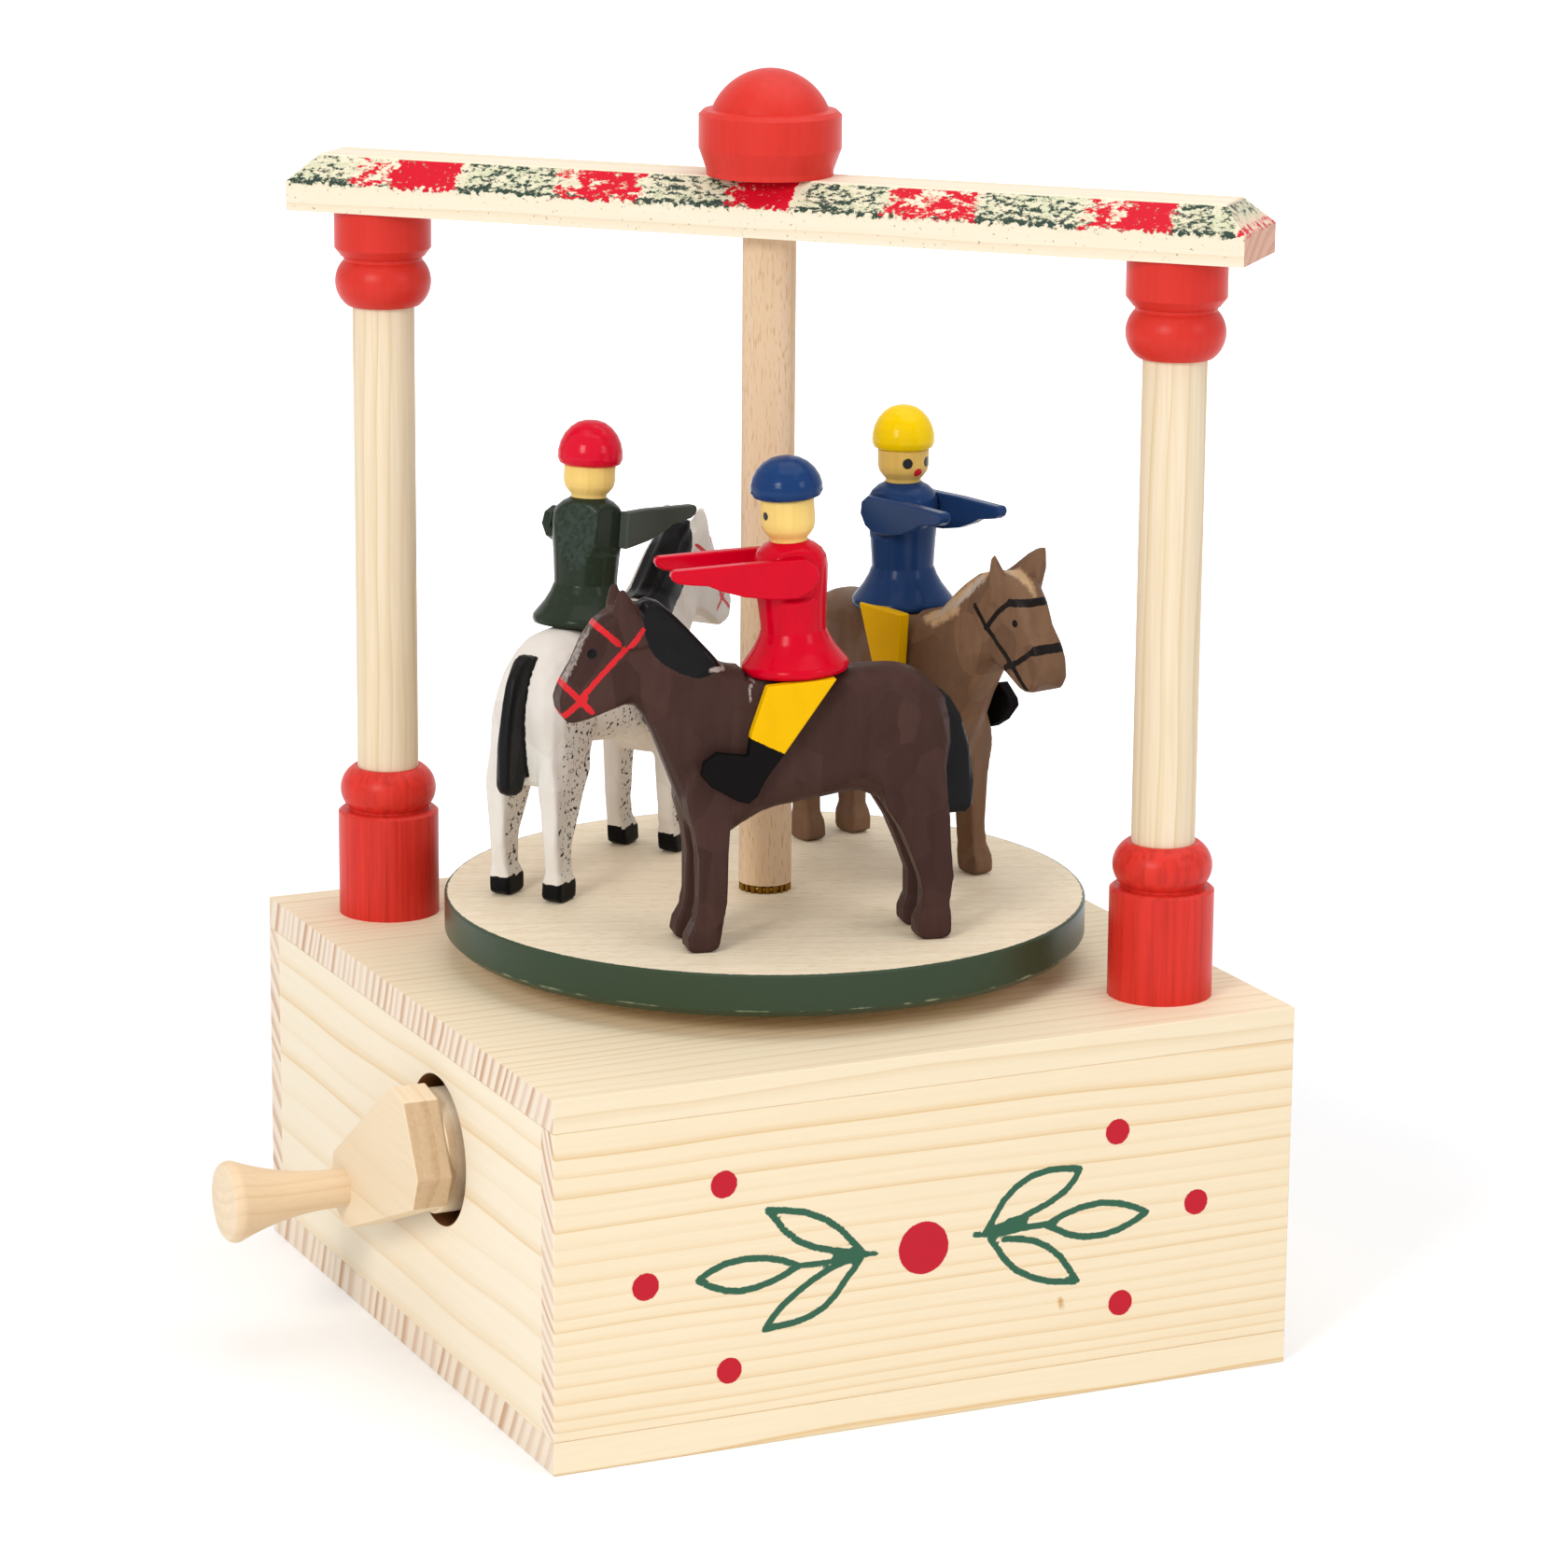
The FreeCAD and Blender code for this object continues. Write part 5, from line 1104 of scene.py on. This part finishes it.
def gloss(name, roughness=0.22, coat_weight=0.06):
    """Dipped gloss paint on small turned wood: even full colour, a clear light on each curve."""
    return paint(f"{name}_gloss_paint", *GLOSS[name], roughness=roughness,
                 lines=(500, 500, 200), bite=0.25, bump_depth=0.00006, coat_weight=coat_weight)


# turned profiles as radii and heights in mm; the cap's is for a radius and a height of one
JACKET_TOP = 19.6
JACKET = [(0, 0), (6.9, 0.0), (7.75, 0.15), (8.0, 0.75), (7.85, 1.35), (7.1, 2.3), (6.2, 3.5),
          (5.4, 4.9), (4.95, 6.1), (4.85, 6.35), (4.85, 6.4), (4.9, 7.6), (5.1, 10.5),
          (5.4, 13.5), (5.55, 15.8), (5.35, 17.2), (4.8, 18.2), (3.9, 19.0), (3.1, 19.4),
          (2.9, JACKET_TOP), (0, JACKET_TOP)]
HEAD_RADIUS = 3.98
HEAD = [(0, -0.1), (2.75, -0.1), (2.75, 0.5), (3.1, 0.85), (3.75, 1.7), (HEAD_RADIUS, 2.6)]
CAP = [(0, 0), (0.82, 0), (0.93, 0.04), (1.0, 0.16), (0.99, 0.32), (0.93, 0.5), (0.8, 0.69),
       (0.62, 0.84), (0.42, 0.94), (0.22, 0.985), (0, 1.0)]
# flat slips: the sleeve forward and up from the saddle, breeches and toe on the horse's side view
SLEEVE = [(-1.0, 17.7), (8.0, 17.95), (18.6, 17.95), (19.1, 17.7), (19.3, 17.1), (18.9, 16.4),
          (18.0, 15.9), (15.9, 15.5), (13.8, 15.2), (11.8, 14.2), (8.4, 13.0), (4.2, 12.2),
          (0.6, 12.0), (-1.6, 12.9), (-2.9, 14.7), (-2.6, 16.6)]
BREECHES = [(6.2, 40.6), (-4.3, 40.9), (3.4, 30.4), (6.4, 26.4), (7.6, 23.9), (8.9, 22.9),
            (10.5, 23.3), (14.6, 25.7), (16.0, 27.4), (15.6, 29.3), (13.6, 30.7), (10.4, 30.2),
            (9.0, 30.0), (8.6, 33.4)]
TOE = [(13.0, 24.8), (15.3, 27.4), (14.9, 28.6), (12.4, 30.7)]
# "face": the head's height below the cap; "cap_size": its radius and height; "look": how far the
# head is turned in degrees; "dabs": the radii of the eyes and of the mouth
RIDERS = {
    "dark": {"jacket": "red", "cap": "blue", "slots": ("red_paint", "blue_paint"),
             "face": 6.5, "cap_size": (5.35, 6.1), "look": -7.0, "dabs": (0.62, 0.55)},
    "white": {"jacket": "green", "cap": "cap_red", "slots": ("green_paint", "red_paint"),
              "face": 5.0, "cap_size": (5.05, 6.95), "look": 0.0, "dabs": (0.62, 0.55)},
    "tan": {"jacket": "navy", "cap": "yellow", "slots": ("navy_paint", "yellow_paint"),
            "face": 5.2, "cap_size": (4.9, 6.8), "look": 3.0, "dabs": (0.82, 0.8)},
}


def seat_of(name):
    """A rider's own frame in mm: forward, to the left and up from the saddle."""
    look = LOOKS[name]
    origin, axes = stance(name)
    seat_u, lean = look["seat"]
    return (Matrix.Translation(origin) @ Matrix(axes.tolist()).transposed().to_4x4()
            @ Matrix.Translation((seat_u, 0, SADDLE * look["high"]))
            @ Matrix.Rotation(math.radians(lean), 4, "Y")
            @ Matrix.Rotation(math.radians(look["twist"]), 4, "Z"))


def piece_of(name, points, faces, place, material, smooth=True):
    """A new piece from points in mm in a frame of its own."""
    whole = Matrix.Scale(0.001, 4) @ place
    mesh = bpy.data.meshes.new(name)
    mesh.from_pydata([whole @ Vector(p) for p in points], [], faces)
    mesh.validate()
    shape = bmesh.new()
    shape.from_mesh(mesh)
    bmesh.ops.remove_doubles(shape, verts=shape.verts, dist=2e-6)
    bmesh.ops.recalc_face_normals(shape, faces=shape.faces)
    shape.to_mesh(mesh)
    shape.free()
    mesh.polygons.foreach_set("use_smooth", [smooth] * len(mesh.polygons))
    mesh.materials.append(material)
    return placed(name, mesh)


def lathed(name, profile, place, material, cut=None):
    """A turned piece from its profile of radii and heights, with filed flats if asked."""
    rings = 72
    fine = [profile[0]]
    for a, b in zip(profile, profile[1:]):
        steps = max(1, round(math.dist(a, b) / 0.35))
        fine += [(a[0] + (b[0] - a[0]) * n / steps, a[1] + (b[1] - a[1]) * n / steps)
                 for n in range(1, steps + 1)]
    turn = np.linspace(0, 2 * math.pi, rings, endpoint=False)
    radii, heights = np.array(fine).T
    grid = np.stack([np.outer(radii, np.cos(turn)), np.outer(radii, np.sin(turn)),
                     np.outer(heights, np.ones(rings))], axis=2).reshape(-1, 3)
    if cut:
        grid = cut(grid)
    faces = [(row * rings + n, row * rings + (n + 1) % rings,
              (row + 1) * rings + (n + 1) % rings, (row + 1) * rings + n)
             for row in range(len(fine) - 1) for n in range(rings)]
    return piece_of(name, grid.tolist(), faces, place, material)


def slip(name, outline, start, thick, place, material, body, node):
    """A flat slip sawn to an outline, its arrises sanded."""
    count = len(outline)
    points = [(x, y, z) for y in (start, start + thick) for x, z in outline]
    faces = [tuple(range(count)), tuple(range(2 * count - 1, count - 1, -1))]
    faces += [(n, (n + 1) % count, count + (n + 1) % count, count + n) for n in range(count)]
    obj = piece_of(name, points, faces, place, material, smooth=False)
    return settle(sanded(obj, width=0.32, cuts=3, angle=55), body, node)


# the arms' flats begin this high on the jacket and lie this far out, in mm
ARM_FLAT_FROM, ARM_FLAT = 11.4, 4.35


def shoulders(grid):
    """Two filed flats for the arms."""
    filed = np.clip(grid[:, 1], -ARM_FLAT, ARM_FLAT)
    grid[:, 1] = np.where(grid[:, 2] > ARM_FLAT_FROM, filed, grid[:, 1])
    return grid


# the way that the shaved flat faces, its height and distance out there, and where it begins
FLAT_TILT = Euler((0, math.radians(-7), math.radians(-158.5)))
FLAT_WAY = np.array(FLAT_TILT.to_matrix() @ Vector((1, 0, 0)))
FLAT_MIDDLE, FLAT_OUT, FLAT_FROM = [0, 0, 14.2], 4.3, 8


def shaved(grid):
    """The same, and a broad flat that was shaved off the back."""
    grid = shoulders(grid)
    past = (grid - FLAT_MIDDLE) @ FLAT_WAY - FLAT_OUT
    past = np.clip(past, 0, None) * (grid[:, 2] > FLAT_FROM)
    return grid - past[:, None] * FLAT_WAY


# Limewood heads, sanded and waxed: warm yellow with faint upright streaks and a low sheen; the
# tan horse's rider has a darker copy, which is painted shade.
SKIN = dict(pale="#F1CF7A", late="#E9C36E", end="#E9C67C", end_late="#D6A95C", turn=UPRIGHT,
            centre=(0, 0, 0.13), pith=(20, 15), spacing=2.3, wander=2.5, streak=0.5,
            roughness=0.38)
SHADED_SKIN = dict(pale="#DFBB64", late="#D7B05A", end="#D7B265", end_late="#C5984B")
# Satin yellow paint, and boots in matt black over it, which give no light back
leg_paint = gloss("breeches", 0.4, 0.02)
mark(leg_paint, "boot_paint", "#171515", ragged=0.15, rough=0.5, shine=0.0)
# the boots reach this high over the disc below the saddle's middle, in mm
BOOT_TOP = 28.4
EYE_BLACK, MOUTH_RED = "#171516", "#CE1F2C"
for name, rider in RIDERS.items():
    look = LOOKS[name]
    place = seat_of(name)
    cloth = gloss(rider["jacket"])
    jacket = lathed(f"{name}_turned_jacket", JACKET, place, cloth,
                    shaved if name == "white" else shoulders)
    if name == "white":
        # the shaved flat took the paint unevenly
        own = np.array([place.inverted() @ Vector(p) for p in spots(jacket)])
        flat = np.abs((own - FLAT_MIDDLE) @ FLAT_WAY - FLAT_OUT) < 0.03
        store(jacket, "shaved", np.where(flat & (own[:, 2] > FLAT_FROM), 0.4, 0.0))
        tree = cloth.node_tree
        on_flat = add(tree, "ShaderNodeAttribute", attribute_name="shaved")["Fac"]
        bare = add(tree, "ShaderNodeMath", {0: 0.35, 1: on_flat}, operation="SUBTRACT")[0]
        mark(cloth, bare, "#38433C", soft=0.2, ragged=0.7)
    settle(jacket, "carousel", f"{name}_rider_jacket")
    face = rider["face"]
    # the tan horse's rider takes the darker copy: painted shade
    own_skin = SKIN | (SHADED_SKIN if name == "tan" else {})
    skin_wood = wood(f"limewood_head_{name}", **own_skin)
    top = place @ Matrix.Translation((0, 0, JACKET_TOP))
    # two eyes and a mouth, dabbed on with the end of a stick
    eye, mouth = rider["dabs"]
    for angle, height, radius, code in ((27.5, face * 0.64, eye, EYE_BLACK),
                                        (-27.5, face * 0.64, eye, EYE_BLACK),
                                        (0.0, face * 0.32, mouth, MOUTH_RED)):
        turn = math.radians(angle + rider["look"])
        out = HEAD_RADIUS - 0.03
        spot = top @ Vector((out * math.cos(turn), out * math.sin(turn), height))
        mark(skin_wood, dot_at(skin_wood, spot, radius), code, soft=0.06, ragged=0.08, rough=0.25)
    head = lathed(f"{name}_turned_head", HEAD + [(HEAD_RADIUS, face), (0, face)], top, skin_wood)
    settle(head, "carousel", f"{name}_rider_head")
    broad, high = rider["cap_size"]
    cap = lathed(f"{name}_turned_cap", [(r * broad, z * high) for r, z in CAP],
                 top @ Matrix.Translation((0, 0, face)), gloss(rider["cap"], 0.2, 0.13))
    settle(cap, "carousel", f"{name}_rider_cap")
    origin, axes = stance(name)
    ground = Matrix.Translation(origin) @ Matrix(axes.tolist()).transposed().to_4x4()
    for hand, arm_start, leg_start in (("left", ARM_FLAT, 6.3), ("right", -6.2, -8.3)):
        sleeve, dye = SLEEVE, cloth
        if name == "white" and hand == "right":
            # this arm's shoulder end is cut off square, and its paint has gone dull
            sleeve = [(max(x - 0.8, 1.6 + 0.05 * z), z) for x, z in SLEEVE]
            dye = gloss("dull_green", 0.5)
        elif name == "white":
            # and this one hangs lower and further back
            sleeve = [(0.99 * x + 0.139 * (z - 15) - 1.0, 15 + 0.99 * (z - 15) - 0.139 * x)
                      for x, z in SLEEVE]
        slip(f"{name}_{hand}_sleeve", sleeve, arm_start, 1.85, place, dye, "carousel",
             f"{name}_rider_{hand}_arm")
        seat_u, lean = look["seat"]
        seat_u += 4.0 if name == "tan" and hand == "left" else 0.0
        outline = [(u + seat_u, v * look["high"] - max(v - 40, 0) * u
                    * math.tan(math.radians(lean))) for u, v in BREECHES]
        if name == "white":
            # these are trimmed under the jacket
            outline[:2] = [(3.4, 38.2), (-2.6, 36.4)]
        if name == "tan" and hand == "right":
            # this one is glued further forward and higher under the skirt
            outline = [(u + (3.8 if v > 38 else 0.8), v + (1.4 if v > 38 else 0.0))
                       for u, v in outline]
        if name == "tan" and hand == "left":
            # this boot is cut to a point
            outline[7:11] = [(u + seat_u, v) for u, v in TOE]
        leg = slip(f"{name}_{hand}_breeches", outline, leg_start, 2.0, ground, leg_paint,
                   "carousel", f"{name}_rider_{hand}_leg")
        own = (spots(leg) - origin) @ axes.T
        store(leg, "boot_paint", own[:, 2] - 0.5 * (own[:, 0] - seat_u) - BOOT_TOP)

# -------------------------------------------------------------------------------- crank
# The crank's boss fills most of the hole in the left wall.  The arm is sawn from beech with
# its corners cut off, and the turned handle is glued into its end.

# Beech, sanded and oiled by hands: honey coloured, with bands along the arm and brown end grain
crank_wood = wood("beech_crank", pale="#EEDABB", late="#E4C9A4", end="#C9AD8B",
                  end_late="#BD9D79", turn=(math.radians(-28.5), 0, math.pi / 2),
                  centre=(-0.065, *CRANK_AXLE[1:]), pith=(30, 24), spacing=2.8, wander=1.6,
                  streak=0.3)
eased("crank_arm", crank_wood, "crank", width=0.3)
coat(crank_wood, "crank_boss")
# The handle was turned from a paler, pinker beech, with its end grain at the sides; that end
# grain is coloured paler than its faces, as painted light where it faces the window
handle_wood = wood("beech_handle_lit_end", pale="#E9D0AE", late="#DDC09A", end="#F1DDC0",
                   end_late="#EBD5B5", turn=(0, 0, 0), centre=(-0.08, -0.003, 0.025),
                   pith=(12, 14), spacing=2.2, wander=1.2, streak=0.3)
coat(handle_wood, "crank_handle")

# ------------------------------------------------------------------ floor, light, camera
# The toy stands on a white table before a white backdrop, lit by a soft window from the front
# left, a weaker light from the front right, a broad one above and the pale room.


def eye_rays(tree):
    """One for what the eye, a mirror or a glass looks at, and nought for the light it gives."""
    rays = add(tree, "ShaderNodeLightPath")
    seen = add(tree, "ShaderNodeMath", {0: rays["Is Camera Ray"], 1: rays["Is Glossy Ray"]},
               operation="MAXIMUM")[0]
    return add(tree, "ShaderNodeMath", {0: seen, 1: rays["Is Transmission Ray"]},
               operation="MAXIMUM")[0]


world = bpy.data.worlds.new("room")
bpy.context.scene.world = world
world.use_nodes = True
tree = world.node_tree
tree.nodes.clear()
room = add(tree, "ShaderNodeBackground", {0: hue("#F8F8FA"), 1: 0.62})[0]
white = add(tree, "ShaderNodeBackground", {0: (1, 1, 1, 1), 1: 1.0})[0]
chosen = add(tree, "ShaderNodeMixShader", {0: eye_rays(tree), 1: room, 2: white})[0]
add(tree, "ShaderNodeOutputWorld", {0: chosen})

floor_mesh = bpy.data.meshes.new("table_top")
floor_mesh.from_pydata([(-3, -3, 0), (3, -3, 0), (3, 3, 0), (-3, 3, 0)], [], [(0, 1, 2, 3)])
placed("table_top", floor_mesh)
# Matt white paint on the table: it takes the toy's shadow, and from 0.14 m off it looks whiter,
# until at 0.6 m it runs into the backdrop.
material = bpy.data.materials.new("white_table")
material.use_nodes = True
tree = material.node_tree
tree.nodes.clear()
matt = add(tree, "ShaderNodeBsdfDiffuse", {0: hue("#F2F2F2")})[0]
here = add(tree, "ShaderNodeTexCoord")["Object"]
away = add(tree, "ShaderNodeVectorMath", {0: here}, operation="LENGTH")["Value"]
rise = add(tree, "ShaderNodeMapRange", {0: away, 1: 0.14, 2: 0.6, 3: 0.12, 4: 1.0})[0]
lift = add(tree, "ShaderNodeEmission", {0: (1, 1, 1, 1), 1: rise})[0]
both = add(tree, "ShaderNodeAddShader", {0: matt, 1: lift})[0]
chosen = add(tree, "ShaderNodeMixShader", {0: eye_rays(tree), 1: matt, 2: both})[0]
add(tree, "ShaderNodeOutputMaterial", {0: chosen})
floor_mesh.materials.append(material)


def lamp(name, at, toward, size, power, code="#FFFFFF"):
    """A square soft light that faces a point."""
    light = bpy.data.lights.new(name, "AREA")
    light.shape = "SQUARE"
    light.size = size
    light.energy = power
    light.color = hue(code)[:3]
    obj = placed(name, light)
    obj.location = at
    obj.rotation_mode = "QUATERNION"
    obj.rotation_quaternion = (Vector(toward) - Vector(at)).to_track_quat("-Z", "Y")


lamp("window", (-0.85, -0.62, 0.62), (0, 0, 0.09), 0.32, 5.3, "#FFFEFB")
lamp("fill", (0.55, -1.0, 0.62), (0, 0, 0.09), 0.3, 1.7, "#F6F9FF")
lamp("ceiling", (0.15, -0.1, 1.15), (0, 0, 0.06), 1.1, 5.8)

# the focal length and the picture's width in pixels, and the sensor's width in mm
FOCAL, PICTURE, SENSOR = 5746.4, 1680, 36.0
camera_data = bpy.data.cameras.new("camera")
camera_data.sensor_width = SENSOR
camera_data.lens = FOCAL / PICTURE * SENSOR
camera_data.clip_start, camera_data.clip_end = 0.05, 20.0
camera = placed("camera", camera_data)
# it looks to the right of straight ahead, down, and is tilted a little, in radians
yaw, pitch, roll = 0.433, 0.243, 0.008
ahead = Vector((math.sin(yaw) * math.cos(pitch), math.cos(yaw) * math.cos(pitch),
                -math.sin(pitch)))
right = Vector((math.cos(yaw), -math.sin(yaw), 0))
up = right.cross(ahead)
right, up = (math.cos(roll) * right + math.sin(roll) * up,
             -math.sin(roll) * right + math.cos(roll) * up)
turn = Matrix((right, up, -ahead)).transposed().to_4x4()
camera.matrix_world = Matrix.Translation((-0.3335, -0.7282, 0.28128)) @ turn
bpy.context.scene.camera = camera
bpy.context.scene.view_settings.view_transform = "Standard"
